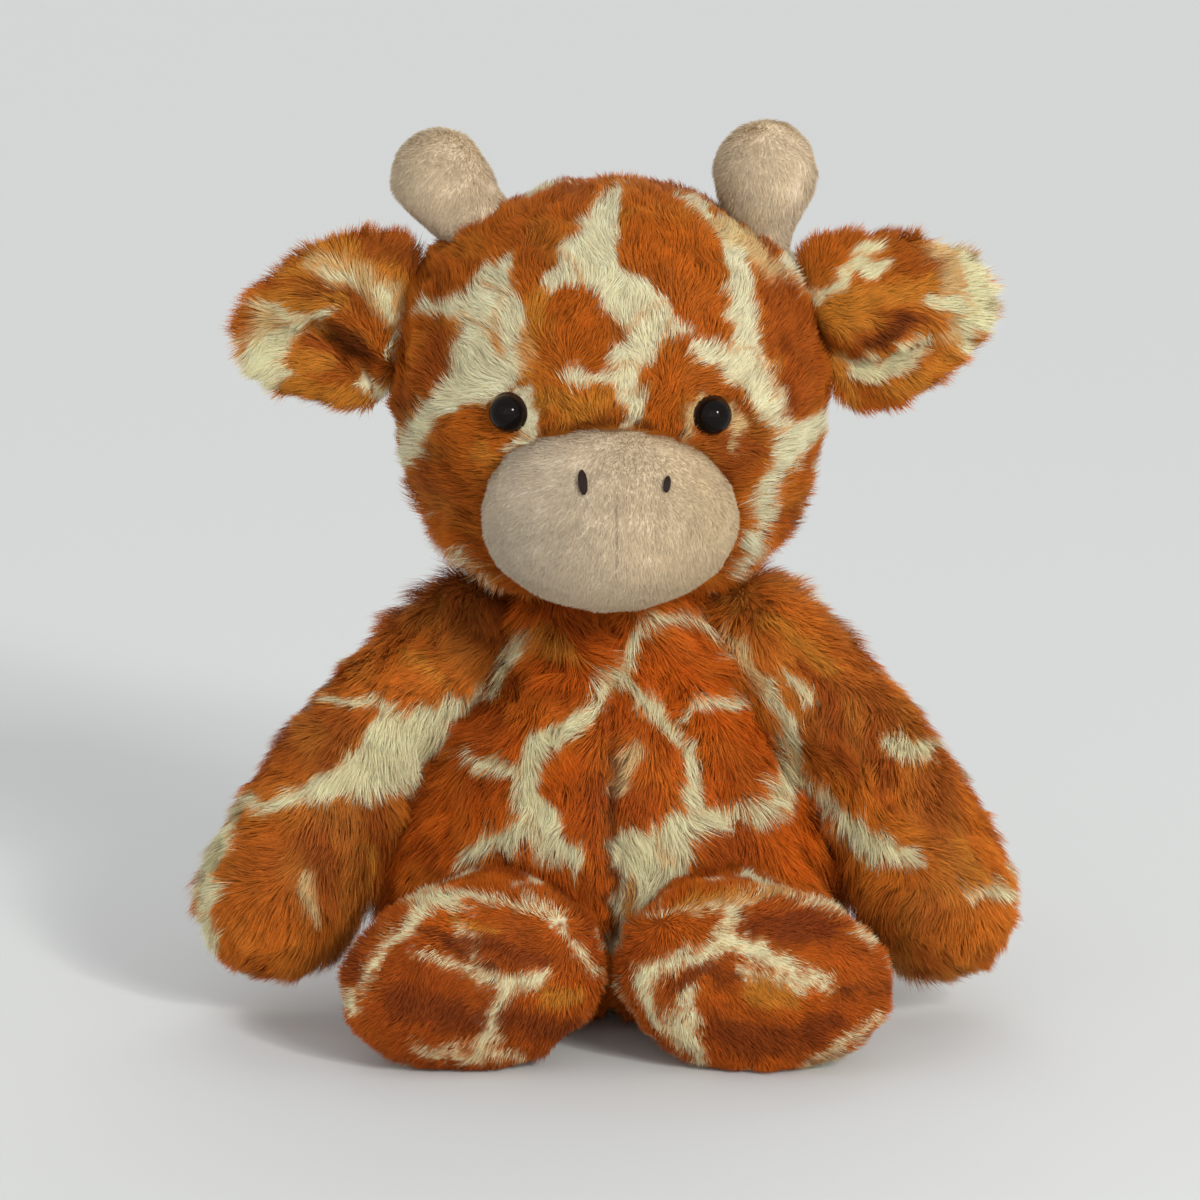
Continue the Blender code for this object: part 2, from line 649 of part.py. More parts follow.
    # Leg: a ball in the hip hole, swelling to an oval foot, and its sole panel
    hip = Vector((side * HIP_OUT, -HIP_FORWARD, HIP_HEIGHT))
    leg_pivot = pivot("hip_pivot_" + side_name, hip)
    foot = hip + Vector((side * FOOT_OUT, -LEG_REACH, -FOOT_DROP))
    tilt = side * math.radians(FOOT_TILT_DEGREES)
    rings = []
    for angle in HIP_RING_DEGREES:
        a = math.radians(angle)
        flat = HIP_BALL * math.sin(a)
        rings.append(oval(hip - Y * (HIP_BALL * math.cos(a)), X, Z, flat, flat, LEG_SEGMENTS))
    for t, swell in LEG_SWELL_SHARES:
        half_wide = HIP_BALL + (FOOT_HALF_WIDTH - HIP_BALL) * swell
        half_high = HIP_BALL + (FOOT_HALF_HEIGHT - HIP_BALL) * swell
        rings.append(oval(hip.lerp(foot, t), X, Z, half_wide, half_high, LEG_SEGMENTS, -tilt * swell))
    for back, shrink in FOOT_RIM_SHARES:
        half_wide = FOOT_HALF_WIDTH - shrink * FOOT_EDGE
        half_high = FOOT_HALF_HEIGHT - shrink * FOOT_EDGE
        centre = foot + Y * (back * FOOT_EDGE)
        rings.append(oval(centre, X, Z, half_wide, half_high, LEG_SEGMENTS, -tilt))
    rings += foot_dome(foot, tilt, FOOT_DOME_DEGREES)
    leg = piece("leg_skin_" + side_name, loft(rings, start_open=True), "patterned_fur", leg_pivot)
    shell(leg)
    cut(leg, floor_cut)
    piece("leg_fill_" + side_name, shrunk(loft(rings), lining), "fibre_fill", leg_pivot)
    # The hip hole: room in the body for the leg as it lifts and drops
    for name, grow, fine, carved in (
        ("hip_hole_", GAP, CUT_SEGMENTS, (body_skin,)),
        ("hip_hollow_", 2 * GAP, LEG_SEGMENTS, (body_fill, pellet_pouch)),
    ):
        outside = (HIP_BALL + grow) / math.cos(math.pi / fine) ** 2
        ball = blob((outside, outside, outside), hip, fine, fine // 2)
        places = [v.co.copy() for v in ball.verts]
        ball.free()
        for lift in LEG_SWING_DEGREES:
            swing = Matrix.Rotation(-math.radians(lift), 4, "X")
            turn = Matrix.Translation(hip) @ swing @ Matrix.Translation(-hip)
            swung = shrunk(loft(rings), -grow)
            places += [turn @ v.co for v in swung.verts]
            swung.free()
        bm = bmesh.new()
        for place in places:
            bm.verts.new(place)
        bmesh.ops.convex_hull(bm, input=bm.verts)
        inner = [v for v in bm.verts if not v.link_faces]
        bmesh.ops.delete(bm, geom=inner, context="VERTS")
        room = piece(name + side_name, bm, None, group=cutters)
        for solid in carved:
            cut(solid, room)
    sole = shrunk(loft(foot_dome(foot, tilt, SOLE_DOME_DEGREES), start_open=True), -GAP)
    panel = piece("sole_" + side_name, sole, "patterned_fur", leg_pivot)
    shell(panel, SOLE_THICKNESS)
    panel.modifiers["fabric"].offset = 1
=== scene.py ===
"""The looks of the seated plush giraffe: stuffed skins, strands of pile, eyes and stitching.

Lengths are in metres. Left and right are the toy's own, so its left is on the viewer's right."""

import json
import math
from itertools import product

import bmesh
import bpy
import numpy as np
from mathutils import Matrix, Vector


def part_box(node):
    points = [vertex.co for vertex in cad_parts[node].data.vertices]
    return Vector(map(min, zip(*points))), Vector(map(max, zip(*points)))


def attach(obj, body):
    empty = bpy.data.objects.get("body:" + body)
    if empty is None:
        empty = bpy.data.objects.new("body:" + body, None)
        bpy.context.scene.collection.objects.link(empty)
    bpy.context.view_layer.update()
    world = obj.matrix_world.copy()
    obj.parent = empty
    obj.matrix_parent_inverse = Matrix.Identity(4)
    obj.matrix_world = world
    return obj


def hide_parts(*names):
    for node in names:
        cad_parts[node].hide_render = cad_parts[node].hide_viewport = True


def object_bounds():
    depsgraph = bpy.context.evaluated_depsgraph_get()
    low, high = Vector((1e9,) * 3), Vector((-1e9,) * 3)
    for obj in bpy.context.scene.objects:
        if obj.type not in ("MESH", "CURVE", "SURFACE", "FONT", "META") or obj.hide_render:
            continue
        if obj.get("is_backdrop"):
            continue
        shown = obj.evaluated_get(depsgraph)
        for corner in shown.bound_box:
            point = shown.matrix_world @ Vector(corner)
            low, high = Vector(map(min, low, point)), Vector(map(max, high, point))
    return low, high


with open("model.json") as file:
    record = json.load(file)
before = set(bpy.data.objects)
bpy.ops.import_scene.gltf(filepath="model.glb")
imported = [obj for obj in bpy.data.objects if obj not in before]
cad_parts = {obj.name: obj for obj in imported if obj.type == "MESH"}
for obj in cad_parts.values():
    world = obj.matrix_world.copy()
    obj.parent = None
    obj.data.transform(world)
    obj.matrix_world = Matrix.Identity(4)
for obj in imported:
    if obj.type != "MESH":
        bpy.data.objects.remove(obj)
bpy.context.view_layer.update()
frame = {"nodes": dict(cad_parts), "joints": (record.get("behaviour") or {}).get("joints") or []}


def box(node):
    """A CAD node's low corner, high corner and middle."""
    low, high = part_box(node)
    return low, high, (low + high) / 2


# The photograph's camera: what it aims at, how far back it stands and its lens
PHOTO_SIDE_PX = 1200
AIM = Vector((-0.0032, 0.0, 0.1370))
CAMERA_BACK = 1.600
CAMERA_RISE = math.radians(11.0)
LENS_MM = 150.0
SENSOR_MM = 36.0
BACK = Vector((0, -math.cos(CAMERA_RISE), math.sin(CAMERA_RISE)))
RIGHT = Vector((1, 0, 0))
UP = BACK.cross(RIGHT)
CAMERA = AIM + BACK * CAMERA_BACK

# Where the frame has its joints and main parts
JOINTS = {j["name"]: Vector(j["pos_m"]) for j in frame["joints"]}
NECK = JOINTS["head_nod"]
HEAD_LOW, HEAD_HIGH, HEAD = box("head_skin")
MUZZLE_LOW, MUZZLE_HIGH, MUZZLE = box("muzzle_skin")
SIDES = (("left", 1), ("right", -1))

# Colours, linear
ORANGE = np.array((0.570, 0.140, 0.012))
RUST = np.array((0.360, 0.076, 0.010))
DARK = np.array((0.120, 0.022, 0.006))
BARK = np.array((0.230, 0.042, 0.009))
AMBER = np.array((0.670, 0.270, 0.034))
PALE = np.array((0.800, 0.600, 0.290))
CREAM = np.array((0.850, 0.775, 0.530))
WARM_CREAM = np.array((0.860, 0.780, 0.500))
TAN = np.array((0.640, 0.528, 0.375))

FLOOR_CLEAR = 0.0003


def to_photo(points):
    """Where points fall in the photograph, in its pixels."""
    off = points - np.array(CAMERA)
    depth = -(off @ np.array(BACK))
    scale = LENS_MM / SENSOR_MM * PHOTO_SIDE_PX
    half = PHOTO_SIDE_PX / 2
    x = half + (off @ np.array(RIGHT)) / depth * scale
    return np.stack((x, half - (off @ np.array(UP)) / depth * scale), 1)


def from_photo(px, py, y):
    """The point of the plane at depth y that falls on a pixel of the photograph."""
    scale = SENSOR_MM / LENS_MM / PHOTO_SIDE_PX
    half = PHOTO_SIDE_PX / 2
    ray = RIGHT * (px - half) * scale - UP * (py - half) * scale - BACK
    return CAMERA + ray * ((y - CAMERA.y) / ray.y)


def size_of(v):
    return np.linalg.norm(v, axis=1)


def unit(v):
    return v / np.maximum(np.linalg.norm(v, axis=1, keepdims=True), 1e-12)


def mix(a, b, share):
    return a + (b - a) * share[:, None]


def ramp(value, start, width):
    """0 up to start, 1 from start + width on."""
    return np.clip((value - start) / width, 0, 1)


def waves(points, size, seed, count=14):
    """A smooth random field of about -1 to 1 whose lumps are about size across."""
    rng = np.random.default_rng(seed)
    way = unit(rng.normal(size=(count, 3)))
    pitch = 2 * math.pi / size * rng.uniform(0.55, 1.5, count)
    phase = rng.uniform(0, 2 * math.pi, count)
    return np.sin(points @ (way * pitch[:, None]).T + phase).sum(1) * math.sqrt(2 / count)


CELL_HASH = np.array((73856093, 19349663, 83492791))
CELL_TABLE = 4096


def cells(points, size, seed):
    """Nearest and second nearest jittered cell centres: (centre, nearest, second)."""
    table = np.random.default_rng(seed).random((CELL_TABLE, 3))
    base = np.floor(points / size).astype(np.int64)
    best = np.full(len(points), np.inf)
    second = best.copy()
    centre = np.zeros_like(points)
    for step in product((-1, 0, 1), repeat=3):
        cell = base + step
        code = np.bitwise_xor.reduce(cell * CELL_HASH, axis=1)
        here = (cell + 0.1 + 0.8 * table[code % CELL_TABLE]) * size
        gap = size_of(points - here)
        nearer = gap < best
        second = np.where(nearer, best, np.minimum(second, gap))
        best = np.where(nearer, gap, best)
        centre[nearer] = here[nearer]
    return centre, best, second


# The coat: chains of x, y and half width in the photograph's pixels, painted in this order
COAT = {
    "head": (
        ("cream", 616, 186, 6, 606, 210, 13, 592, 236, 20, 582, 262, 29, 612, 288, 24, 646, 306, 22,
          676, 322, 14, 700, 333, 6),
        ("cream", 655, 318, 16, 634, 348, 18, 628, 380, 14, 634, 402, 12, 632, 424, 4),
        ("cream", 562, 272, 17, 546, 286, 8),
        ("cream", 566, 374, 5, 600, 372, 8, 632, 378, 14),
        ("cream", 704, 204, 4, 732, 228, 6, 738, 255, 11, 744, 290, 13, 748, 326, 13, 750, 350, 14,
          762, 378, 14, 777, 405, 13, 790, 434, 7),
        ("pale", 709, 211, 5, 748, 239, 7, 784, 276, 6),
        ("cream", 694, 346, 8, 716, 352, 12, 740, 358, 17, 764, 392, 13, 785, 424, 8),
        ("cream", 831, 414, 7, 812, 428, 14, 790, 448, 13, 778, 480, 9, 768, 512, 8, 758, 548, 7,
          740, 576, 6),
        ("cream", 505, 256, 6, 498, 275, 15, 492, 295, 22, 490, 318, 34, 494, 345, 38, 478, 372, 34,
          452, 392, 18, 426, 412, 12, 408, 436, 12, 396, 462, 9),
        ("cream", 418, 306, 5, 448, 306, 8, 482, 300, 18),
        ("cream", 522, 392, 8, 531, 415, 7, 528, 440, 5, 506, 449, 4),
        ("pale", 731, 412, 5, 740, 428, 6, 734, 446, 4),
        ("pale", 684, 440, 3, 690, 418, 3, 700, 402, 3),
        ("amber", 478, 452, 9, 492, 462, 6),
        ("cream", 452, 560, 4, 487, 588, 5),
        ("amber", 541, 398, 12, 575, 404, 13, 606, 398, 10),
        ("amber", 538, 298, 8, 524, 336, 8, 524, 370, 6),
        ("amber", 492, 330, 5, 498, 350, 4),
        ("cream", 791, 253, 6, 807, 282, 5),
        ("cream", 682, 192, 4, 708, 206, 5, 722, 214, 3),
        ("dark", 549, 428, 1, 575, 422, 2, 618, 417, 2, 652, 421, 2, 684, 437, 1),
        ("rust", 782, 292, 18, 796, 325, 22, 806, 370, 20, 800, 400, 12),
        ("rust", 436, 340, 12, 424, 372, 12),
        ("orange", 574, 300, 22, 584, 322, 30, 592, 344, 26),
        ("orange", 684, 340, 10, 670, 366, 15, 662, 392, 13, 668, 420, 14),
        ("orange", 640, 232, 16, 672, 250, 32, 694, 288, 30, 712, 320, 18),
    ),
    "torso": (
        ("cream", 619, 673, 8, 596, 706, 7, 568, 729, 8, 540, 750, 11, 527, 772, 13, 524, 795, 15,
          534, 822, 18, 550, 848, 20, 574, 866, 10),
        ("cream", 460, 752, 4, 472, 769, 6, 512, 772, 8),
        ("cream", 520, 840, 14, 500, 846, 12, 480, 853, 7, 461, 867, 5),
        ("cream", 622, 682, 8, 628, 660, 8, 640, 640, 8, 656, 624, 7, 687, 620, 4, 717, 626, 4),
        ("cream", 619, 678, 7, 645, 706, 9, 668, 728, 8, 684, 746, 6, 695, 774, 7, 694, 804, 10,
          700, 818, 12),
        ("cream", 622, 850, 14, 650, 868, 36, 655, 892, 38, 644, 918, 32, 626, 944, 18),
        ("cream", 684, 716, 4, 700, 708, 6, 718, 705, 6, 748, 700, 5),
        ("cream", 682, 842, 24, 704, 822, 15, 735, 824, 10, 765, 820, 8, 786, 800, 12,
          796, 778, 14),
        ("cream", 716, 630, 5, 737, 650, 6, 758, 667, 7, 776, 700, 7, 789, 744, 7, 797, 790, 9),
        ("pale", 616, 790, 5, 622, 766, 8, 636, 758, 7),
        ("amber", 533, 640, 6, 556, 652, 8, 579, 664, 6),
        ("cream", 512, 646, 6, 498, 675, 8, 486, 697, 5),
        ("amber", 628, 880, 5, 630, 930, 6),
        ("dark", 612, 742, 1, 613, 780, 1, 612, 830, 2, 611, 880, 2, 611, 950, 2),
    ),
    "arm_right": (
        ("cream", 320, 700, 3, 352, 704, 4, 401, 713, 5),
        ("cream", 250, 812, 3, 292, 801, 8, 330, 790, 15, 366, 776, 30, 396, 760, 42, 430, 738, 30,
          456, 716, 14),
        ("cream", 290, 800, 7, 262, 804, 6, 238, 803, 6, 222, 818, 7, 210, 845, 9, 204, 880, 10,
          203, 915, 9, 208, 952, 5),
        ("pale", 306, 880, 7, 313, 920, 5),
        ("amber", 371, 850, 5, 373, 892, 3),
        ("amber", 405, 655, 6, 440, 690, 8),
        ("cream", 478, 690, 5, 468, 715, 6),
    ),
    "arm_left": (
        ("rust", 806, 664, 5, 826, 700, 9, 842, 745, 9, 856, 786, 8),
        ("rust", 870, 728, 4, 886, 778, 6, 894, 806, 4),
        ("pale", 720, 634, 4, 742, 658, 6, 764, 688, 6),
        ("cream", 884, 744, 5, 906, 752, 12, 935, 751, 9, 951, 740, 4),
        ("cream", 812, 790, 6, 828, 812, 10, 850, 836, 13, 880, 856, 15, 905, 858, 11, 919, 862, 5),
        ("cream", 771, 689, 5, 788, 724, 6, 796, 758, 7, 808, 792, 6),
        ("amber", 770, 622, 8, 800, 640, 9, 830, 668, 6),
        ("cream", 790, 680, 4, 812, 705, 4),
        ("amber", 966, 843, 5, 986, 882, 3),
        ("cream", 975, 892, 4, 1012, 897, 6),
    ),
    "leg_right": (
        ("cream", 392, 886, 6, 420, 894, 9, 450, 896, 8, 484, 898, 5, 508, 902, 4, 540, 908, 4,
          560, 925, 4, 574, 945, 4, 599, 975, 3),
        ("cream", 424, 906, 8, 402, 926, 7, 380, 948, 4, 366, 970, 4, 363, 990, 4),
        ("amber", 450, 915, 3, 470, 925, 4, 496, 932, 3),
        ("cream", 415, 955, 2, 448, 965, 4, 478, 978, 5, 508, 985, 8, 543, 977, 7),
        ("cream", 456, 923, 2, 472, 945, 3, 478, 967, 3),
        ("cream", 508, 988, 7, 498, 1010, 6, 490, 1028, 7, 480, 1052, 9),
        ("cream", 413, 1048, 2, 470, 1054, 3, 524, 1062, 2),
        ("cream", 344, 1000, 8, 350, 1012, 6),
        ("cream", 525, 895, 3, 545, 902, 4, 558, 912, 3),
        ("bark", 345, 945, 8, 352, 975, 9),
        ("bark", 395, 1005, 14, 430, 1012, 18, 470, 1022, 14),
        ("bark", 510, 1020, 10, 545, 1032, 14, 580, 1030, 8),
        ("bark", 440, 938, 6, 500, 950, 7, 540, 962, 5),
        ("amber", 545, 1000, 8, 580, 1000, 6),
        ("dark", 420, 930, 2, 480, 962, 2, 500, 982, 1),
    ),
    "leg_left": (
        ("cream", 655, 910, 2, 685, 906, 3, 720, 901, 5, 748, 893, 6, 778, 890, 5),
        ("cream", 762, 884, 6, 800, 887, 10, 840, 896, 12, 872, 908, 8),
        ("cream", 738, 903, 8, 729, 928, 8, 724, 944, 11, 700, 958, 8, 664, 966, 6, 644, 975, 9,
          645, 992, 8, 658, 1016, 7, 678, 1042, 6),
        ("cream", 690, 992, 7, 683, 1012, 7, 684, 1036, 9, 700, 1064, 6),
        ("cream", 727, 938, 10, 750, 950, 8, 778, 962, 8, 803, 977, 8, 826, 986, 6),
        ("cream", 746, 974, 4, 775, 982, 5, 800, 987, 5),
        ("cream", 884, 1014, 3, 852, 1044, 4, 807, 1070, 4),
        ("cream", 862, 932, 4, 876, 936, 4),
        ("rust", 700, 972, 6, 730, 968, 5),
        ("rust", 690, 975, 6, 668, 995, 6),
        ("bark", 755, 922, 12, 790, 926, 16, 835, 926, 12),
        ("bark", 716, 1030, 12, 750, 1042, 18, 800, 1042, 16, 840, 1020, 8),
        ("bark", 672, 985, 6, 700, 975, 8, 740, 982, 5),
        ("amber", 760, 992, 14, 790, 1002, 10),
        ("amber", 680, 900, 6, 800, 884, 5, 850, 892, 5),
        ("dark", 838, 996, 3, 870, 992, 2, 890, 985, 2),
    ),
    "ear_right": (
        ("amber", 345, 243, 14, 312, 254, 14, 284, 274, 9),
        ("amber", 352, 262, 14, 385, 272, 16, 402, 290, 12, 394, 322, 8),
        ("amber", 262, 300, 8, 300, 303, 8, 340, 300, 8),
        ("pale", 308, 262, 6, 330, 268, 12, 356, 274, 10),
        ("cream", 318, 268, 3, 338, 274, 6, 356, 276, 4),
        ("pale", 366, 276, 10, 384, 292, 16, 394, 312, 12),
        ("cream", 374, 288, 5, 384, 298, 9, 392, 314, 6),
        ("cream", 404, 316, 4, 397, 335, 5, 390, 354, 4),
        # painted shadow: rust and dark in the hollow under the fold
        ("rust", 310, 342, 8, 335, 350, 12, 375, 362, 9),
        ("dark", 326, 330, 5, 346, 340, 9, 368, 354, 7),
        ("cream", 258, 306, 6, 282, 318, 6, 304, 320, 5, 326, 313, 4),
        ("cream", 298, 327, 5, 282, 335, 12, 262, 346, 20, 250, 362, 17, 262, 378, 12, 284, 374, 6),
        ("pale", 262, 320, 10, 252, 338, 8),
        ("amber", 292, 365, 8, 330, 362, 7),
        ("amber", 285, 390, 9, 330, 398, 9, 360, 402, 8),
        ("cream", 361, 380, 4, 377, 390, 7, 385, 400, 6),
        # painted shade in the crease where the ear meets the head
        ("dark", 418, 244, 2, 416, 275, 3, 414, 305, 3),
    ),
    "ear_left": (
        ("amber", 818, 306, 9, 850, 302, 12, 890, 294, 13, 934, 284, 12),
        ("amber", 834, 322, 12, 858, 332, 13, 876, 328, 9),
        ("cream", 800, 296, 5, 820, 298, 5, 838, 286, 5),
        ("cream", 829, 290, 4, 845, 272, 8, 856, 260, 9, 868, 250, 9, 880, 243, 5),
        ("cream", 858, 262, 6, 872, 266, 9, 886, 264, 6),
        ("pale", 940, 246, 8, 962, 258, 14, 972, 290, 22, 970, 322, 18, 958, 342, 10),
        ("cream", 960, 246, 6, 976, 264, 13, 985, 292, 17, 982, 322, 14, 970, 342, 7),
        ("cream", 928, 304, 4, 948, 302, 7, 966, 304, 10),
        # painted shadow: rust and dark in the hollow under the fold
        ("rust", 862, 346, 8, 884, 338, 11, 904, 326, 11, 918, 318, 7),
        ("dark", 874, 350, 4, 890, 340, 7, 904, 328, 7, 914, 320, 4),
        ("cream", 842, 362, 6, 858, 372, 11, 880, 373, 12, 902, 364, 11, 922, 352, 8, 936, 342, 4),
        ("amber", 838, 360, 6, 842, 380, 8, 852, 400, 7),
        ("amber", 890, 396, 7, 930, 376, 7, 958, 354, 5),
        # painted shade in the crease where the ear meets the head
        ("dark", 812, 316, 3, 817, 340, 4, 826, 354, 3),
    ),
}
TINTS = {"cream": CREAM, "pale": PALE, "amber": AMBER, "orange": ORANGE, "rust": RUST * 1.15,
         "bark": BARK, "dark": DARK}

# How the browns of a part differ from the rest, in red, green and blue: partly their own tone and
# partly painted light, the parts made lighter and the toy's left arm and leg, on the key lamp's
# side, lighter than its right ones
PART_BROWNS_AND_PAINTED_LIGHT = {
    "torso": (1.20, 0.98, 0.80),
    "arm_left": (1.22, 1.38, 1.60),
    "arm_right": (1.14, 1.22, 1.50),
    "leg_left": (1.22, 1.08, 0.95),
    "leg_right": (1.14, 0.99, 0.90),
}

# By kind of part: share of golden hair, depth of the rust lumps, rust everywhere, and the patches'
# edges in pixels: noise, inset, softness
STYLES = {
    "head": (0.20, 0.75, 0.0, 1.8, 0.0, 3.0),
    "torso": (0.22, 0.75, 0.0, 1.8, 0.0, 3.0),
    "arm": (0.22, 0.95, 0.0, 1.8, 0.0, 3.0),
    "leg": (0.06, 0.75, 0.45, 3.2, 1.0, 6.0),
    "ear": (0.34, 0.75, 0.0, 1.8, 0.0, 3.0),
}
WOBBLE_PX = 3.0
WOBBLE_SIZE = 0.011
RUST_SIZE = 0.040
GOLD_SIZE = 0.026
# Golden hair everywhere, hair by hair and in lumps
GOLD_EVEN, GOLD_HAIRS, GOLD_LUMPS = 0.05, 0.8, 1.2
# Cream lines have an amber rim; all tints but cream and orange are washes with a soft edge
RIM_SHARE = 0.7
AMBER_RIM_PX = 4.0
WASH_PX = 7.0
WASH_SHARE = 0.85
# The net of the back: its cells, how they bend, and how broad and how uneven its lines are, in mm
NET_CELL = 0.036
NET_SEED = 77
NET_BEND = 0.0016
NET_BEND_SIZE = 0.018
NET_LINE_MM = 3.6
NET_RIM_MM = 1.8
NET_EDGE_MM = 1.4
NET_ROUGH_MM = 0.6
NET_UNEVEN_MM, NET_UNEVEN_SIZE = 1.4, 0.05
# From how far toward the camera the front's pattern is painted, and its ragged, soft end; an ear's
# whole rim has it
FRONT_FROM = {"ear": -0.93, "other": 0.02}
FRONT_RAGGED, FRONT_RAGGED_SIZE, FRONT_FADE = 0.12, 0.02, 0.10


def chain_gap(at, chain):
    """How far each point lies outside a chain's painted width, in pixels."""
    best = np.full(len(at), np.inf)
    points = np.array(chain, float).reshape(-1, 3)
    for a, b in zip(points, points[1:]):
        run = b[:2] - a[:2]
        t = np.clip(((at - a[:2]) @ run) / (run @ run), 0, 1)
        gap = size_of(at - a[:2] - t[:, None] * run)
        best = np.minimum(best, gap - (a[2] + (b[2] - a[2]) * t))
    return best


def coat(part, points, normals, seed):
    """The pile's colour at each point of a patterned part."""
    kind = part.split("_")[0]
    golden, depth, ruddy, noise, inset, softness = STYLES[kind]
    rng = np.random.default_rng(seed)
    at = to_photo(points)
    at = at + WOBBLE_PX * np.stack([waves(points, WOBBLE_SIZE, seed + i) for i in (1, 2)], 1)
    deep = 0.5 + 0.5 * waves(points, RUST_SIZE, seed + 3)
    brown = mix(ORANGE, RUST, np.clip(deep * depth + ruddy, 0, 1))
    lumps = np.clip(waves(points, GOLD_SIZE, seed + 9), 0, 1)
    gold = GOLD_EVEN + GOLD_HAIRS * rng.random(len(at)) ** 2 + GOLD_LUMPS * lumps
    brown = mix(brown, AMBER, golden * gold)
    # painted light: each part's browns lightened, its left limbs more than its right
    brown = brown * np.array(PART_BROWNS_AND_PAINTED_LIGHT.get(part, (1.0, 1.0, 1.0)))
    cream = CREAM if part == "head" else WARM_CREAM
    front = brown.copy()
    for tint, *chain in COAT[part]:
        gap = chain_gap(at, chain) + rng.normal(0, noise, len(at)) + inset
        rim = RIM_SHARE * (tint == "cream") * np.clip(1 - (gap - 1.5) / AMBER_RIM_PX, 0, 1)
        front = mix(front, AMBER, rim)
        cover = np.clip(0.5 - gap / softness, 0, 1)
        if tint not in ("cream", "orange"):
            cover = np.clip(0.75 - gap / WASH_PX, 0, 1) * WASH_SHARE
        front = mix(front, cream if tint == "cream" else TINTS[tint], cover)
    bend = np.stack([waves(points, NET_BEND_SIZE, seed + 4 + i) for i in range(3)], 1)
    _, near, far = cells(points + NET_BEND * bend, NET_CELL, NET_SEED)
    gap = (far - near) * 1000 - NET_LINE_MM + rng.normal(0, NET_ROUGH_MM, len(at))
    gap = gap - NET_UNEVEN_MM * waves(points, NET_UNEVEN_SIZE, NET_SEED + 1)
    rear = mix(brown, AMBER, np.clip(1 - (gap - 0.4) / NET_RIM_MM, 0, 1) * RIM_SHARE)
    rear = mix(rear, cream, np.clip(0.5 - gap / NET_EDGE_MM, 0, 1))
    facing = normals @ np.array(BACK)
    facing = facing + FRONT_RAGGED * waves(points, FRONT_RAGGED_SIZE, seed + 8)
    start = FRONT_FROM.get(kind, FRONT_FROM["other"])
    return mix(rear, front, ramp(facing, start, FRONT_FADE))


CHIN_SEAM = (616, 508, 0.3, 617, 540, 0.5, 616, 580, 0.3)
CHIN_SEAM_DARK, CHIN_SEAM_PX = 0.45, 1.6
HORN_LIGHTER = 1.10
# The muzzle's tone changes from one side to the other, in red, green and blue
MUZZLE_WARMTH = np.array((0.05, 0.02, -0.06))
MUZZLE_WARM_REACH = 0.030


def tan_coat(part, points, normals, seed):
    """The short tan pile's colour."""
    colour = TAN * (1 + 0.03 * waves(points, 0.03, seed + 1))[:, None]
    if part == "horn":
        return colour * HORN_LIGHTER
    across = np.clip((points[:, :1] - MUZZLE.x) / MUZZLE_WARM_REACH, -1, 1)
    colour = colour * (1 + across * MUZZLE_WARMTH)
    gap = chain_gap(to_photo(points), CHIN_SEAM)
    return colour * (1 - CHIN_SEAM_DARK * np.clip(0.8 - gap / CHIN_SEAM_PX, 0, 1))[:, None]


# Mesh helpers
def new_mesh(name, points, loops, sizes):
    mesh = bpy.data.meshes.new(name)
    mesh.vertices.add(len(points))
    mesh.vertices.foreach_set("co", np.asarray(points, np.float32).ravel())
    mesh.loops.add(len(loops))
    mesh.loops.foreach_set("vertex_index", np.asarray(loops, np.int32))
    mesh.polygons.add(len(sizes))
    starts = np.concatenate(([0], np.cumsum(sizes)[:-1]))
    mesh.polygons.foreach_set("loop_start", starts.astype(np.int32))
    mesh.update(calc_edges=True)
    return mesh


def add_object(name, data):
    made = bpy.data.objects.new(name, data)
    bpy.context.scene.collection.objects.link(made)
    return made


def modify(obj, kind, **settings):
    made = obj.modifiers.new(kind.lower(), kind)
    for name, value in settings.items():
        setattr(made, name, value)
    return made


def applied(obj):
    """obj with its modifiers made part of its mesh."""
    deps = bpy.context.evaluated_depsgraph_get()
    mesh = bpy.data.meshes.new_from_object(obj.evaluated_get(deps))
    old = obj.data
    obj.modifiers.clear()
    obj.data = mesh
    mesh.name = obj.name
    bpy.data.meshes.remove(old)
    return obj


def of_points(obj, field):
    """A vector of each point of obj: co or normal."""
    values = np.empty(len(obj.data.vertices) * 3, np.float32)
    obj.data.vertices.foreach_get(field, values)
    return values.reshape(-1, 3).astype(float)


def set_points(obj, points):
    obj.data.vertices.foreach_set("co", points.astype(np.float32).ravel())
    obj.data.update()


def set_colours(mesh, rgb):
    """Stores a colour at each point, where the materials read it."""
    rgba = np.ones((len(rgb), 4), np.float32)
    rgba[:, :3] = rgb
    layer = mesh.color_attributes.new("pile", "FLOAT_COLOR", "POINT")
    layer.data.foreach_set("color", rgba.ravel())


def outward(mesh):
    """The closed mesh with all its faces turned outward."""
    bm = bmesh.new()
    bm.from_mesh(mesh)
    bmesh.ops.recalc_face_normals(bm, faces=bm.faces)
    bm.to_mesh(mesh)
    bm.free()
    return mesh


def tube(first, rows, steps, over=False):
    """The loops and sizes of a closed tube's faces, from rows of steps points; over flips them."""
    loops, sizes = [], []
    for a in range(first, first + (rows - 1) * steps, steps):
        for j in range(steps):
            nxt = (j + 1) % steps
            quad = (a + j, a + nxt, a + steps + nxt, a + steps + j)
            loops.extend((quad[0], *quad[:0:-1]) if over else quad)
            sizes.append(4)
    for row, flip in ((0, not over), (rows - 1, over)):
        cap = [first + row * steps + j for j in range(steps)]
        loops.extend(cap[::-1] if flip else cap)
        sizes.append(steps)
    return loops, sizes


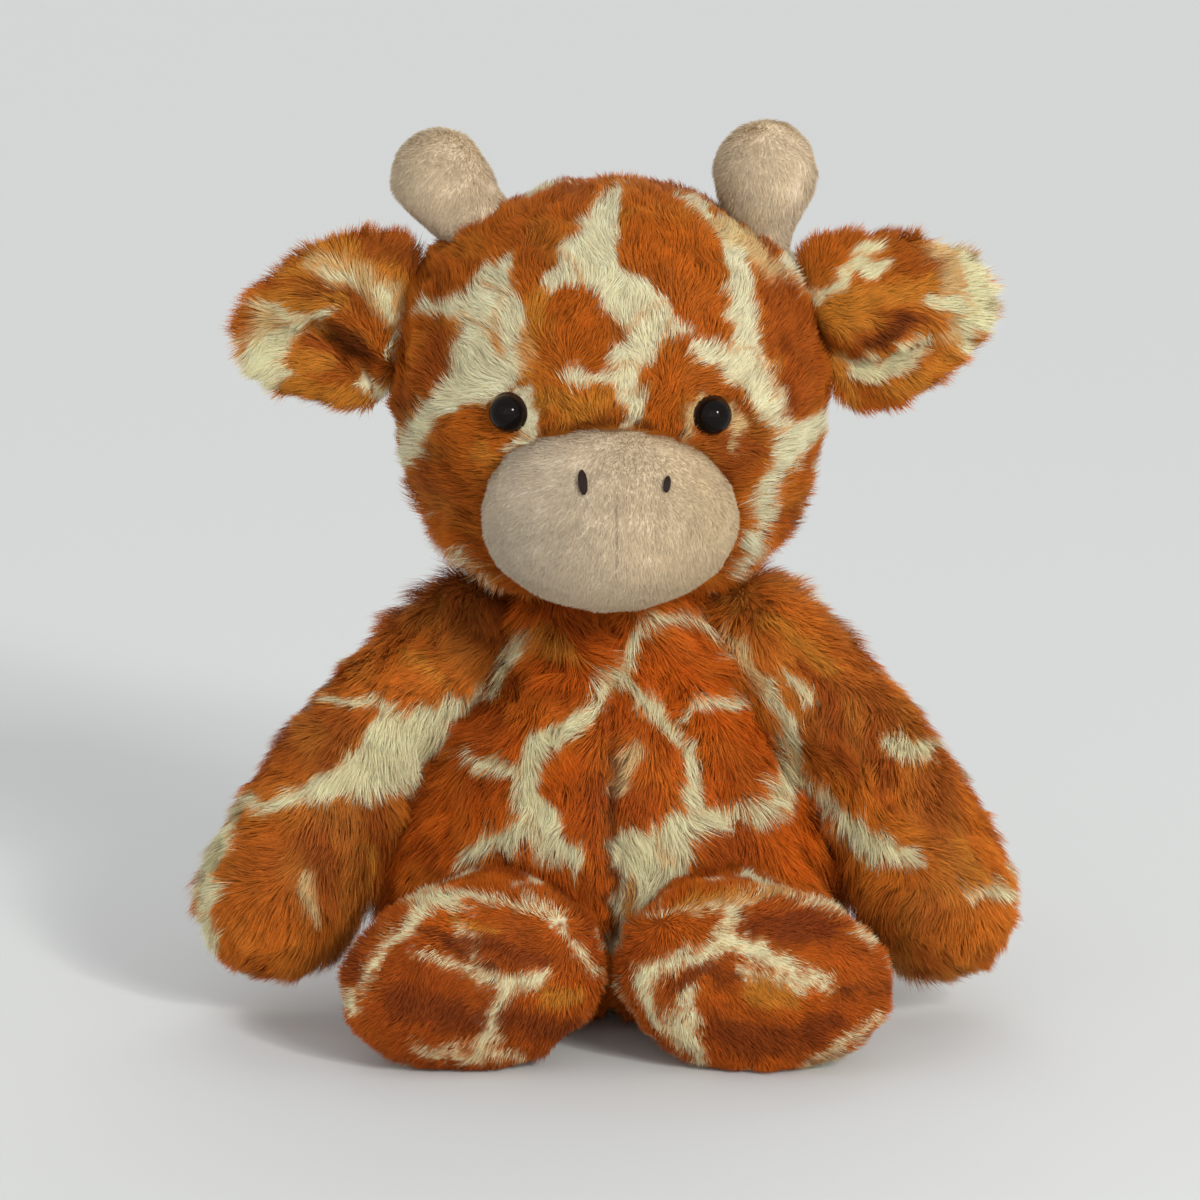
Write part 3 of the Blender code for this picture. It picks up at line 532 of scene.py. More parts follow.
def turned(name, centre, way, profile, steps=48):
    """A closed turned shape: profile is (radius, height) from tip to foot along way."""
    turn = Vector(way).to_track_quat("Z", "Y").to_matrix()
    points = []
    for radius, height in profile:
        for j in range(steps):
            a = 2 * math.pi * j / steps
            spot = Vector((radius * math.cos(a), radius * math.sin(a), height))
            points.append(Vector(centre) + turn @ spot)
    loops, sizes = tube(0, len(profile), steps, over=True)
    mesh = outward(new_mesh(name, points, loops, np.array(sizes)))
    mesh.shade_smooth()
    return add_object(name, mesh)


def stuffed(name, shapes, voxel, swell, fuller=()):
    """A closed skin round the space of these meshes, evenly meshed and smoothed.

    It stands swell outside them. fuller moves it near some places: (place, reach, move)."""
    bm = bmesh.new()
    for shape in shapes:
        bm.from_mesh(shape)
    bmesh.ops.remove_doubles(bm, verts=bm.verts, dist=0.00001)
    bm.normal_update()
    for vert in bm.verts:
        vert.co += vert.normal * swell
        for place, reach, move in fuller:
            gap = (vert.co - Vector(place)).length
            vert.co += Vector(move) * math.exp(-((gap / reach) ** 2))
        vert.co.z = max(vert.co.z, FLOOR_CLEAR)
    mesh = bpy.data.meshes.new(name)
    bm.to_mesh(mesh)
    bm.free()
    made = add_object(name, mesh)
    modify(made, "REMESH", mode="VOXEL", voxel_size=voxel)
    modify(made, "SMOOTH", factor=0.5, iterations=5)
    return applied(made)


CLOTH = {"quality": 5, "mass": 0.25, "tension_stiffness": 18, "compression_stiffness": 18,
         "shear_stiffness": 8, "bending_stiffness": 0.6, "use_pressure": True,
         "uniform_pressure_force": 4}
CLOTH_FRAMES = 20


def puffed(objects, caps):
    """Fills the skins as cloth under pressure; no point moves past its cap."""
    rest = {o.name: of_points(o, "co") for o in objects}
    for o in objects:
        cloth = modify(o, "CLOTH")
        for name, value in CLOTH.items():
            setattr(cloth.settings, name, value)
        cloth.settings.effector_weights.gravity = 0
        cloth.point_cache.frame_start = 1
        cloth.point_cache.frame_end = CLOTH_FRAMES
    for step in range(1, CLOTH_FRAMES + 1):
        bpy.context.scene.frame_set(step)
    for o in objects:
        applied(o)
    bpy.context.scene.frame_set(1)
    for o in objects:
        before = rest[o.name]
        moved = of_points(o, "co") - before
        far = np.linalg.norm(moved, axis=1, keepdims=True)
        moved *= np.minimum(1, caps[o.name] / np.maximum(far, 1e-9))
        after = before + moved
        after[:, 2] = np.maximum(after[:, 2], FLOOR_CLEAR)
        set_points(o, after)
        modify(o, "SUBSURF", levels=1, render_levels=1)
        applied(o)
        o.data.shade_smooth()


# Pile: a strand is a tapered blade of two faces, with its stations, widths, tones and faces; its
# tones are painted shade at the root and a painted highlight at the tip
BLADE_AT = np.array((0.0, 0.55, 1.0))
BLADE_TAPER = (1.0, 0.75)
BLADE_SHADE_AND_HIGHLIGHT = np.array((0.62, 0.96, 1.18))
BLADE_LOOPS = np.array((0, 1, 3, 2, 2, 3, 4))
BLADE_SIZES = np.array((4, 3))
BLADE_POINTS = 5
ROOT_UNDER_SKIN = 0.0005
# How much of a strand's shading normal is its skin's, and where along it its colour is taken
NORMAL_OF_SKIN = 0.56
SEEN_AT = 0.80
# How unevenly strands stand: strength and size of the fields that turn, lengthen and lift them,
# and how much single strands differ
SWIRL, SWIRL_SIZE, CURL, CURL_SIZE, TURN_EACH = 0.42, 0.030, 0.18, 0.009, 0.13
LONGER, LONGER_SIZE, LENGTH_EACH = 0.16, 0.010, (0.70, 1.12)
HIGHER, HIGHER_SIZE, LIFT_EACH, LIFT_RANGE = 0.14, 0.013, 0.07, (0.06, 0.92)
# A strand is steeper than its lift at the root and flatter toward the tip
ROOT_STEEPER, STEEPEST, TIP_SHARE = 0.30, 0.96, 0.55
# How far a strand's middle and tip are drawn to the middle of its tuft
MIDDLE_PULL, TIP_PULL = 0.30, 0.85


def roots(obj, per_mm2, rng):
    """Random points of a skin with their normals."""
    mesh = obj.data
    mesh.calc_loop_triangles()
    tris = np.empty(len(mesh.loop_triangles) * 3, np.int32)
    mesh.loop_triangles.foreach_get("vertices", tris)
    tris = tris.reshape(-1, 3)
    corners = of_points(obj, "co")[tris]
    area = size_of(np.cross(corners[:, 1] - corners[:, 0], corners[:, 2] - corners[:, 0])) / 2
    total = area.sum()
    count = int(total * 1e6 * per_mm2)
    picked = np.searchsorted(np.cumsum(area), rng.random(count) * total).clip(0, len(area) - 1)
    a = np.sqrt(rng.random(count))
    b = rng.random(count)
    weights = np.stack((1 - a, a * (1 - b), a * b), 1)[:, :, None]
    normals = of_points(obj, "normal")[tris[picked]]
    return (corners[picked] * weights).sum(1), unit((normals * weights).sum(1))


def bent(base, middle, tip, s):
    """The place at s, from 0 to 1, on the curve that three points shape."""
    return base * (1 - s) ** 2 + middle * 2 * s * (1 - s) + tip * s**2


def grow(obj, per_mm2, length, lift, width, comb, seed, clump=0.5, tuft=0.0035, keep=None,
         stray=1.0):
    """Strands on a skin: their root, normal, stations from root to tip and width.

    lift is how steeply they stand, clump how far tips lean to the middle of their tuft, tuft its
    size and stray how unevenly the skin is combed."""
    rng = np.random.default_rng(seed)
    p, n = roots(obj, per_mm2, rng)
    if keep is not None:
        stays = keep(p, n)
        p, n = p[stays], n[stays]
    count = len(p)
    t = comb(p, n)
    t = unit(t - n * (t * n).sum(1, keepdims=True))
    turn = SWIRL * waves(p, SWIRL_SIZE, seed + 1) + CURL * waves(p, CURL_SIZE, seed + 2)
    turn = stray * turn + rng.normal(0, TURN_EACH, count)
    t = t * np.cos(turn)[:, None] + np.cross(n, t) * np.sin(turn)[:, None]
    long = length(p, n) * rng.uniform(*LENGTH_EACH, count)
    long = long * (1 + LONGER * stray * waves(p, LONGER_SIZE, seed + 3))
    rise = lift(p, n) + HIGHER * stray * waves(p, HIGHER_SIZE, seed + 4)
    rise = np.clip(rise + rng.normal(0, LIFT_EACH, count), *LIFT_RANGE)
    steep = np.clip(rise + ROOT_STEEPER, 0, STEEPEST)
    flat = rise * TIP_SHARE
    base = p - n * ROOT_UNDER_SKIN
    middle, tip = (n * up[:, None] + t * np.sqrt(1 - up**2)[:, None] for up in (steep, flat))
    middle = base + middle * (0.5 * long)[:, None]
    tip = middle + tip * (0.5 * long)[:, None]
    pull = cells(p, tuft, seed + 5)[0] - p
    pull -= n * (pull * n).sum(1, keepdims=True)
    strength = clump * np.clip(0.75 + 0.5 * waves(p, 0.02, seed + 6), 0, 1.3)[:, None]
    middle += pull * strength * MIDDLE_PULL
    tip += pull * strength * TIP_PULL
    line = bent(base[:, None], middle[:, None], tip[:, None], BLADE_AT[None, :, None])
    line[:, :, 2] = np.maximum(line[:, :, 2], FLOOR_CLEAR + 0.0006 * rng.random((count, 1)))
    broad = width * rng.uniform(0.75, 1.25, count)
    seen = bent(base, middle, tip, SEEN_AT)
    return {"root": p, "seen": seen, "normal": n, "line": line, "width": broad, "seed": seed}


def chosen(strands, mask):
    return {k: (v[mask] if isinstance(v, np.ndarray) else v) for k, v in strands.items()}


def blades(strands, rng):
    """The points of each strand's blade and their shading normals."""
    n, line = strands["normal"], strands["line"]
    twist = rng.normal(0, 0.40, len(n))[:, None]
    points = np.empty((len(n), BLADE_POINTS, 3))
    normals = np.empty_like(points)
    for i, taper in enumerate(BLADE_TAPER):
        way = unit(line[:, i + 1] - line[:, i])
        side = unit(np.cross(way, n))
        side = side * np.cos(twist) + np.cross(side, way) * np.sin(twist)
        half = side * (strands["width"] * taper / 2)[:, None]
        points[:, 2 * i] = line[:, i] - half
        points[:, 2 * i + 1] = line[:, i] + half
        facing = unit(np.cross(side, way) * (1 - NORMAL_OF_SKIN) + n * NORMAL_OF_SKIN)
        normals[:, 2 * i] = normals[:, 2 * i + 1] = facing
    points[:, -1] = line[:, -1]
    normals[:, -1] = normals[:, -2]
    points[:, :, 2] = np.maximum(points[:, :, 2], FLOOR_CLEAR)
    return points, normals


# How much strands differ in tone, one by one and in lumps; the tan pile is calmer
SPECKLE, TAN_SPECKLE, LUMPS, LUMP_SIZE = (-0.22, 0.24), 0.75, 0.06, 0.008
# How much less of the painted root shade and tip highlight pale strands get
EVENER = {coat: 0.78, tan_coat: 1.05}
BRIGHTEST = 0.90
# The tips are drawn towards amber as a painted highlight
AMBER_TIP_HIGHLIGHT = 0.16


def shades_of(strands, tint, part, rng):
    """The colour of each blade's points: painted shade darkens the root and a painted highlight
    lightens the tip.
    """
    colour = tint(part, strands["seen"], strands["normal"], 500 + len(part))
    speckle = rng.uniform(*SPECKLE, len(colour))
    if tint is tan_coat:
        speckle *= TAN_SPECKLE
    else:
        speckle += LUMPS * waves(strands["root"], LUMP_SIZE, 600)
    colour = colour * (1 + speckle)[:, None]
    rows = np.append(np.repeat(BLADE_SHADE_AND_HIGHLIGHT[:-1], 2), BLADE_SHADE_AND_HIGHLIGHT[-1])[None]
    pale = np.clip(colour[:, 2:] / CREAM[2], 0, 1)
    rows = rows + (1 - rows) * EVENER[tint] * pale
    shades = np.clip(colour[:, None] * rows[:, :, None], 0, BRIGHTEST)
    shades[:, -1] += (AMBER - shades[:, -1]) * AMBER_TIP_HIGHLIGHT * (1 - pale)
    return shades


def bake_map(count):
    """Map coordinates of the blades' loops: each blade has a cell of its own."""
    grid = math.ceil(math.sqrt(count))
    cell = np.arange(count)
    across = np.append(np.tile((0.0, 1.0), len(BLADE_TAPER)), 0.5)
    rise = np.append(np.repeat(BLADE_AT[:-1], 2), 1.0)
    u = (cell % grid)[:, None] + 0.2 + 0.6 * across[None]
    v = (cell // grid)[:, None] + 0.15 + 0.7 * rise[None]
    return np.stack((u, v), 2)[:, BLADE_LOOPS] / grid


def pile(name, strands, tint, part, body):
    """One mesh of tapered blades, coloured strand by strand, that rides on a body."""
    rng = np.random.default_rng(strands["seed"] + 50)
    points, normals = blades(strands, rng)
    count = len(points)
    loops = (np.arange(count)[:, None] * BLADE_POINTS + BLADE_LOOPS[None]).ravel()
    mesh = new_mesh(name, points.reshape(-1, 3), loops, np.tile(BLADE_SIZES, count))
    facings = mesh.attributes.new("custom_normal", "FLOAT_VECTOR", "POINT")
    facings.data.foreach_set("vector", normals.astype(np.float32).ravel())
    set_colours(mesh, shades_of(strands, tint, part, rng).reshape(-1, 3))
    layer = mesh.uv_layers.new(name="OFBake")
    layer.uv.foreach_set("vector", bake_map(count).astype(np.float32).ravel())
    material, slot = FABRICS[tint]
    mesh.materials.append(material)
    finish_piece(add_object(name, mesh), body)


# Materials
def new_material(name, rough, gloss=None):
    """A material's node tree and its shader, set to this roughness and gloss."""
    made = bpy.data.materials.new(name)
    made.use_nodes = True
    shader = made.node_tree.nodes["Principled BSDF"]
    shader.inputs["Roughness"].default_value = rough
    if gloss is not None:
        shader.inputs["Specular IOR Level"].default_value = gloss
    return made, made.node_tree, shader


def add_node(tree, kind, inputs=(), **settings):
    made = tree.nodes.new("ShaderNode" + kind)
    for name, value in dict(inputs).items():
        made.inputs[name].default_value = value
    for name, value in settings.items():
        setattr(made, name, value)
    return made


def texture(tree, kind, inputs, **settings):
    """A texture node in the object's own space."""
    made = add_node(tree, "Tex" + kind, inputs, **settings)
    place = add_node(tree, "TexCoord")
    tree.links.new(place.outputs["Object"], made.inputs["Vector"])
    return made


def spread(tree, noise, low, high):
    """A noise's values laid out from low to high."""
    made = add_node(tree, "MapRange", {"To Min": low, "To Max": high})
    tree.links.new(noise.outputs["Fac"], made.inputs["Value"])
    return made.outputs["Result"]


def two_tones(tree, noise, shader, dark, light):
    """Colours the shader from dark to light by a texture."""
    tones = add_node(tree, "ValToRGB")
    for stop, colour in zip(tones.color_ramp.elements, (dark, light)):
        stop.color = (*colour, 1)
    tree.links.new(noise.outputs["Fac"], tones.inputs["Fac"])
    tree.links.new(tones.outputs["Color"], shader.inputs["Base Color"])


def fibre_material(name, rough, gloss, grain, glow):
    """Fabric in the mesh's own colours with a fine grain; glow is the light let through."""
    made, tree, shader = new_material(name, rough, gloss)
    links = tree.links
    colour = add_node(tree, "Attribute", attribute_name="pile")
    noise = texture(tree, "Noise", {"Scale": grain, "Detail": 3})
    mixed = add_node(tree, "Mix", data_type="RGBA", blend_type="MULTIPLY")
    mixed.inputs["Factor"].default_value = 1
    links.new(colour.outputs["Color"], mixed.inputs["A"])
    links.new(spread(tree, noise, 0.86, 1.14), mixed.inputs["B"])
    links.new(mixed.outputs["Result"], shader.inputs["Base Color"])
    if glow:
        through = add_node(tree, "BsdfTranslucent")
        both = add_node(tree, "MixShader", {"Fac": glow})
        links.new(mixed.outputs["Result"], through.inputs["Color"])
        links.new(shader.outputs["BSDF"], both.inputs[1])
        links.new(through.outputs["BSDF"], both.inputs[2])
        links.new(both.outputs["Shader"], tree.nodes["Material Output"].inputs["Surface"])
    return made


LONG_PILE = fibre_material("long_pile", 0.55, 0.06, 160, 0.26)
SHORT_PILE = fibre_material("short_pile", 0.70, 0.12, 220, 0.26)
BACKING = fibre_material("knit_backing", 0.95, 0.05, 420, 0.0)
FABRICS = {coat: (LONG_PILE, "patterned_fur"), tan_coat: (SHORT_PILE, "tan_pile")}
# How dark the painted shade makes the fabric between the strands, for long and for short pile
SKIN_SHADE = {coat: 0.42, tan_coat: 0.75}


def paint_skin(obj, tint, part, seed, shade):
    """Colours the fabric under the pile like the pile's roots, darkened as painted shade."""
    colour = tint(part, of_points(obj, "co"), of_points(obj, "normal"), seed)
    colour = colour * (shade + 0.38 * np.clip(colour[:, 2:] / CREAM[2], 0, 1))
    set_colours(obj.data, np.clip(colour, 0, 1))
    obj.data.materials.clear()
    obj.data.materials.append(BACKING)


# Which body a piece rides on and which CAD nodes it stands for
def finish_piece(obj, body, nodes=()):
    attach(obj, body)
    if nodes:
        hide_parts(*nodes)


def finish_skin(obj, tint, part, seed, body, nodes):
    paint_skin(obj, tint, part, seed, SKIN_SHADE[tint])
    finish_piece(obj, body, nodes)


# Ways the pile is combed
def away_from(place):
    centre = np.array(place)
    return lambda p, n: p - centre


def along(way):
    vector = np.array(way, float)
    return lambda p, n: np.broadcast_to(vector, p.shape)


def down_and_out(p, n):
    return np.stack((p[:, 0] * 6, (p[:, 1] - 0.02) * 3, np.full(len(p), -1.0)), 1)


def even(value):
    return lambda p, n: np.full(len(p), value)


def leg_length(p, n):
    return 0.0040 + 0.0022 * (1 - np.abs(n[:, 1]))


def leg_lift(p, n):
    return 0.32 + 0.20 * (1 - np.abs(n[:, 1]))


def filling(*nodes):
    return [frame["nodes"][node].data for node in nodes]


# Each horn's lean in degrees, its length, its knob's radius and how far it stands over the CAD's
HORNS = {"left": (3, 0.034, 0.0158, 0.0012), "right": (-38, 0.028, 0.0146, 0.0004)}
# A horn's width below the middle of its knob: distances and radii, both over the knob's radius
HORN_TAPER = {
    "left": ((0.0, 0.40, 0.75, 1.10, 1.45, 1.80, 2.40), (1.0, 0.95, 0.80, 0.60, 0.53, 0.50, 0.54)),
    "right": ((0.0, 0.45, 0.85, 1.25, 1.65, 2.10), (1.0, 0.95, 0.85, 0.78, 0.78, 0.84)),
}
HORN_ROWS = 18


def horn_skin(side):
    """A stuffed club: a round knob that tapers to a stalk, which goes into the head."""
    lean, length, knob, rise = HORNS[side]
    low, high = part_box("horn_" + side)
    cad_knob = (high.y - low.y) / 2
    outer = high.x - cad_knob if side == "left" else low.x + cad_knob
    knob_middle = Vector((outer, (low.y + high.y) / 2, high.z - cad_knob + rise))
    lean = math.radians(lean)
    way = Vector((math.sin(lean), 0, math.cos(lean)))
    profile = []
    for k in range(HORN_ROWS + 1):
        a = math.pi / 2 * k / HORN_ROWS
        profile.append((max(knob * math.sin(a), 0.0002), knob * math.cos(a)))
    for k in range(1, HORN_ROWS + 1):
        down = length * k / HORN_ROWS
        profile.append((knob * float(np.interp(down / knob, *HORN_TAPER[side])), -down))
    solid = turned("horn_core", knob_middle, way, profile, 40)
    mesh = solid.data
    bpy.data.objects.remove(solid)
    made = stuffed("horn_skin_soft_" + side, [mesh], voxel=0.0018, swell=0.0)
    bpy.data.meshes.remove(mesh)
    return made


# Skins of the big stuffed parts, and where each is fuller than its filling
COLLAR_AND_HIPS = [
    *(((k * 0.024, 0.004, 0.136), 0.018, (k * 0.006, -0.003, 0.004)) for k in (-1, 1)),
    *(((k * 0.064, 0.012, 0.042), 0.036, (k * 0.0105, 0, 0)) for k in (-1, 1)),
]
JAW_AND_EAR_ROOTS = [
    *(((k * 0.042, -0.004, 0.156), 0.026, (k * 0.003, 0.0, -0.005)) for k in (-1, 1)),
    ((-0.056, 0.004, 0.244), 0.016, (-0.0035, 0, 0.0035)),
    ((0.057, 0.004, 0.244), 0.014, (0.0025, 0, 0.0025)),
]
MUZZLE_FULLER = [
    ((0, -0.055, 0.198), 0.024, (0, 0, 0.0022)),
    ((0, -0.055, 0.146), 0.024, (0, 0, -0.0014)),
    ((-0.028, -0.052, 0.190), 0.014, (-0.0030, -0.0005, 0.0025)),
    ((0.028, -0.052, 0.190), 0.012, (0.0010, 0, 0.0010)),
]
HAND_OUT = {"left": 0.0, "right": -0.0030}
FOOT_OUT = {"left": 0.0065, "right": 0.0020}
seat = filling("body_fill", "pellet_pouch")
body = stuffed("body_skin_soft", seat, 0.0045, 0.0026, COLLAR_AND_HIPS)
head = stuffed("head_skin_soft", filling("head_fill"), 0.0045, 0.0028, JAW_AND_EAR_ROOTS)
limbs = {}
for side, sign in SIDES:
    arm_fuller = [((sign * 0.046, 0.018, 0.137), 0.020, (-sign * 0.001, -0.001, 0.004)),
                  ((sign * 0.084, 0.006, 0.054), 0.030, (-sign * 0.0034, 0, 0)),
                  ((sign * 0.126, 0.006, 0.045), 0.030, (HAND_OUT[side], 0, 0))]
    leg_fuller = [((sign * 0.080, -0.070, 0.030), 0.026, (sign * FOOT_OUT[side], 0, 0)),
                  ((sign * 0.048, -0.030, 0.062), 0.028, (0, 0, -0.0036))]
    for kind, swell, fuller in (("arm", 0.0028, arm_fuller), ("leg", 0.0036, leg_fuller)):
        core = filling(f"{kind}_fill_{side}")
        limbs[f"{kind}_{side}"] = stuffed(f"{kind}_skin_soft_{side}", core, 0.0040, swell, fuller)
muzzle = stuffed("muzzle_skin_soft", filling("muzzle_fill"), 0.0026, 0.0026, MUZZLE_FULLER)
horns = {side: horn_skin(side) for side, _ in SIDES}
soft = [body, head, muzzle, *limbs.values(), *horns.values()]
puffed(soft, {o.name: 0.0006 if "horn" in o.name or "muzzle" in o.name else 0.0010 for o in soft})

# The belly's centre seam is sunk into the skin
SEAM_DEPTH = 0.0022
SEAM_HALF = 0.0035
points = of_points(body, "co")
off_seam = np.where(points[:, 1] < 0.03, points[:, 0] - 0.001, 1.0)
sink = SEAM_DEPTH * np.exp(-((off_seam / SEAM_HALF) ** 2))
set_points(body, points - of_points(body, "normal") * sink[:, None])

finish_skin(body, coat, "torso", 505, "torso", ("body_skin", "body_fill", "pellet_pouch"))
finish_skin(head, coat, "head", 504, "head", ("head_skin", "head_fill"))
finish_skin(muzzle, tan_coat, "muzzle", 506, "head", ("muzzle_skin", "muzzle_fill"))

HEAD_HALF = np.array((HEAD_HIGH - HEAD_LOW) / 2)
EYE_DROP = {"left": 0.0015, "right": 0.0007}
EYES = {}
for side, _ in SIDES:
    low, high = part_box("eye_" + side)
    EYES[side] = np.array(((low.x + high.x) / 2, low.y, (low.z + high.z) / 2 - EYE_DROP[side]))
SEAM_REACH = 0.004


def in_head(p, inset):
    return size_of((p - np.array(HEAD)) / (HEAD_HALF - inset)) < 1


def flank(p, n):
    """1 on the body's sides beside the arms, 0 elsewhere."""
    outer = np.clip(np.abs(n[:, 0]), 0, 1)
    return outer * np.clip((0.110 - p[:, 2]) / 0.02, 0, 1) * np.clip(p[:, 2] / 0.03, 0, 1)


def at_collar(p):
    """1 on the shoulders round the neck, 0 elsewhere."""
    gap = size_of((p - np.array(NECK))[:, :2]) - 0.034
    return np.exp(-((gap / 0.011) ** 2)) * (p[:, 2] > 0.115)


def body_length(p, n):
    high = ramp(p[:, 2], 0.085, 0.03)
    seam = 1 - 0.35 * np.exp(-((p[:, 0] / SEAM_REACH) ** 2)) * (n[:, 1] < -0.2)
    return (0.0076 + 0.0020 * high + 0.0048 * flank(p, n) + 0.0045 * at_collar(p)) * seam


def body_lift(p, n):
    return 0.40 + 0.22 * at_collar(p) + 0.08 * flank(p, n)


def arm_length(p, n):
    inner = np.clip(-n[:, 0] * np.sign(p[:, 0]), 0, 1) * (p[:, 2] < 0.115)
    return 0.0080 + 0.0034 * inner + 0.0025 * ramp(p[:, 2], 0.118, 0.012)


def arm_lift(p, n):
    return 0.40 + 0.14 * ramp(p[:, 2], 0.118, 0.012)


def head_length(p, n):
    jaw = np.clip((HEAD.z - 0.018 - p[:, 2]) / 0.03, 0, 1)
    sides = ramp(np.abs(n[:, 0]), 0.7, 0.25) * ramp(p[:, 2], 0.215, 0.02)
    long = 0.0062 + 0.0042 * jaw + 0.0018 * sides
    for place in EYES.values():
        long = long * np.clip((size_of(p - place) - 0.004) / 0.009, 0.25, 1)
    return long


def head_comb(p, n):
    """Away from the muzzle's top, and round the eyes away from them."""
    way = unit(p - np.array((0, MUZZLE.y + 0.012, MUZZLE.z + 0.004)))
    for place in EYES.values():
        off = p - place
        near = np.exp(-((size_of(off) / 0.010) ** 2))
        way = way + unit(off) * (1.6 * near)[:, None]
    return way


# Bare places of the head: factors on the muzzle's half size, radii round neck and eyes
MUZZLE_BARE = np.array((1.0, 1.3, 1.03))
NECK_BARE = 0.031
EYE_BARE = 0.0058


def head_roots(p, n):
    """Keeps the head's pile off the muzzle, the eyes and the neck."""
    muzzle_half = np.array(MUZZLE_HIGH - MUZZLE_LOW) / 2 * MUZZLE_BARE
    stays = size_of((p - np.array(MUZZLE)) / muzzle_half) > 1
    stays &= size_of(p - np.array(NECK)) > NECK_BARE
    for place in EYES.values():
        stays &= (size_of((p - place)[:, [0, 2]]) > EYE_BARE) | (p[:, 1] > 0)
    return stays


def clear_of(places):
    """Keeps the roots outside these (centre, radius) balls."""

    def keep(p, n):
        stays = np.ones(len(p), bool)
        for centre, radius in places:
            stays &= size_of(p - np.array(centre)) > radius
        return stays

    return keep


def out_of_head(inset, low=-2.0, high=2.0):
    """Keeps the roots that stand out of the head and whose normals' y is between low and high."""
    return lambda p, n: ~in_head(p, inset) & (n[:, 1] > low) & (n[:, 1] < high)


# The body's pile stays out of its openings
NECK_HOLE, ARM_HOLE, LEG_HOLE = 0.020, 0.0205, 0.0275
sockets = [(NECK, NECK_HOLE)]
for side, _ in SIDES:
    sockets.append((JOINTS["arm_swing_" + side], ARM_HOLE))
    sockets.append((JOINTS["leg_lift_" + side], LEG_HOLE))

fur = grow(body, 3.4, body_length, body_lift, 0.00025, down_and_out, 11, keep=clear_of(sockets))
right_half = fur["root"][:, 0] < 0
for side, mask in (("right", right_half), ("left", ~right_half)):
    pile("body_fur_" + side, chosen(fur, mask), coat, "torso", "torso")

fur = grow(head, 3.4, head_length, even(0.44), 0.00025, head_comb, 21, clump=0.30, tuft=0.0024,
           keep=head_roots)
quarters = (fur["root"][:, 0] < 0).astype(int) + 2 * (fur["root"][:, 1] > HEAD.y)
for code, label in enumerate(("face_left", "face_right", "back_left", "back_right")):
    pile("head_fur_" + label, chosen(fur, quarters == code), coat, "head", "head")

muzzle_top = (0.003, MUZZLE_LOW.y + 0.024, MUZZLE_HIGH.z - 0.002)
fur = grow(muzzle, 7.0, even(0.0027), even(0.50), 0.00022, away_from(muzzle_top), 31, clump=0.28,
           tuft=0.0017, keep=out_of_head(0.003), stray=0.4)
pile("muzzle_pile", fur, tan_coat, "muzzle", "head")

# Ears: their outlines in the photograph's pixels, the fold that hangs over each hollow, the pinch
# at the root and the middle of the lower bulge
EAR_SHAPES = {
    "right": {
        "outline": (
            (421, 241), (404, 231), (373, 233), (333, 238), (299, 252), (278, 272), (252, 291),
            (239, 312), (235, 338), (240, 364), (264, 383), (290, 398), (333, 408), (364, 415),
            (388, 405), (404, 380), (420, 330), (424, 285)),
        "fold": ((388, 372), (373, 358), (350, 333), (326, 314), (304, 320), (282, 330)),
        "pinch": (396, 362),
        "lower": (318, 385),
    },
    "left": {
        "outline": (
            (790, 246), (812, 236), (843, 231), (878, 230), (909, 232), (936, 241), (957, 248),
            (981, 261), (990, 299), (995, 324), (978, 346), (966, 362), (926, 387), (893, 407),
            (866, 417), (843, 412), (826, 385), (806, 335), (794, 290)),
        "fold": ((822, 330), (845, 346), (870, 351), (895, 342), (912, 328), (925, 314)),
        "pinch": (817, 326),
        "lower": (895, 378),
    },
}
EAR_MID = 0.0035
EAR_PILE = 0.0034
EAR_RINGS = 16
EAR_STEPS = 72
# How thick an ear's lining is: at its rim, its dome, the fold's lip and the lower bulge
LINING, DOME, LIP, BULGE = 0.0010, 0.0030, 0.0058, 0.0042
HOLLOW = 0.0042
EAR_BACK_DOME = 0.0068


def line_gap(at, line):
    """Distances from a line of points, the side (1 above) and how far along each one's foot is."""
    best = np.full(len(at), np.inf)
    side = np.zeros(len(at))
    place = np.zeros(len(at))
    lengths = [math.dist(a, b) for a, b in zip(line, line[1:])]
    for i, (a, b) in enumerate(zip(np.array(line, float), np.array(line[1:], float))):
        run = b - a
        t = np.clip(((at - a) @ run) / (run @ run), 0, 1)
        foot = a + t[:, None] * run
        gap = size_of(at - foot)
        nearer = gap < best
        best = np.where(nearer, gap, best)
        side = np.where(nearer, np.sign(foot[:, 1] - at[:, 1] + 1e-9), side)
        place = np.where(nearer, (sum(lengths[:i]) + t * lengths[i]) / sum(lengths), place)
    return best, side, place


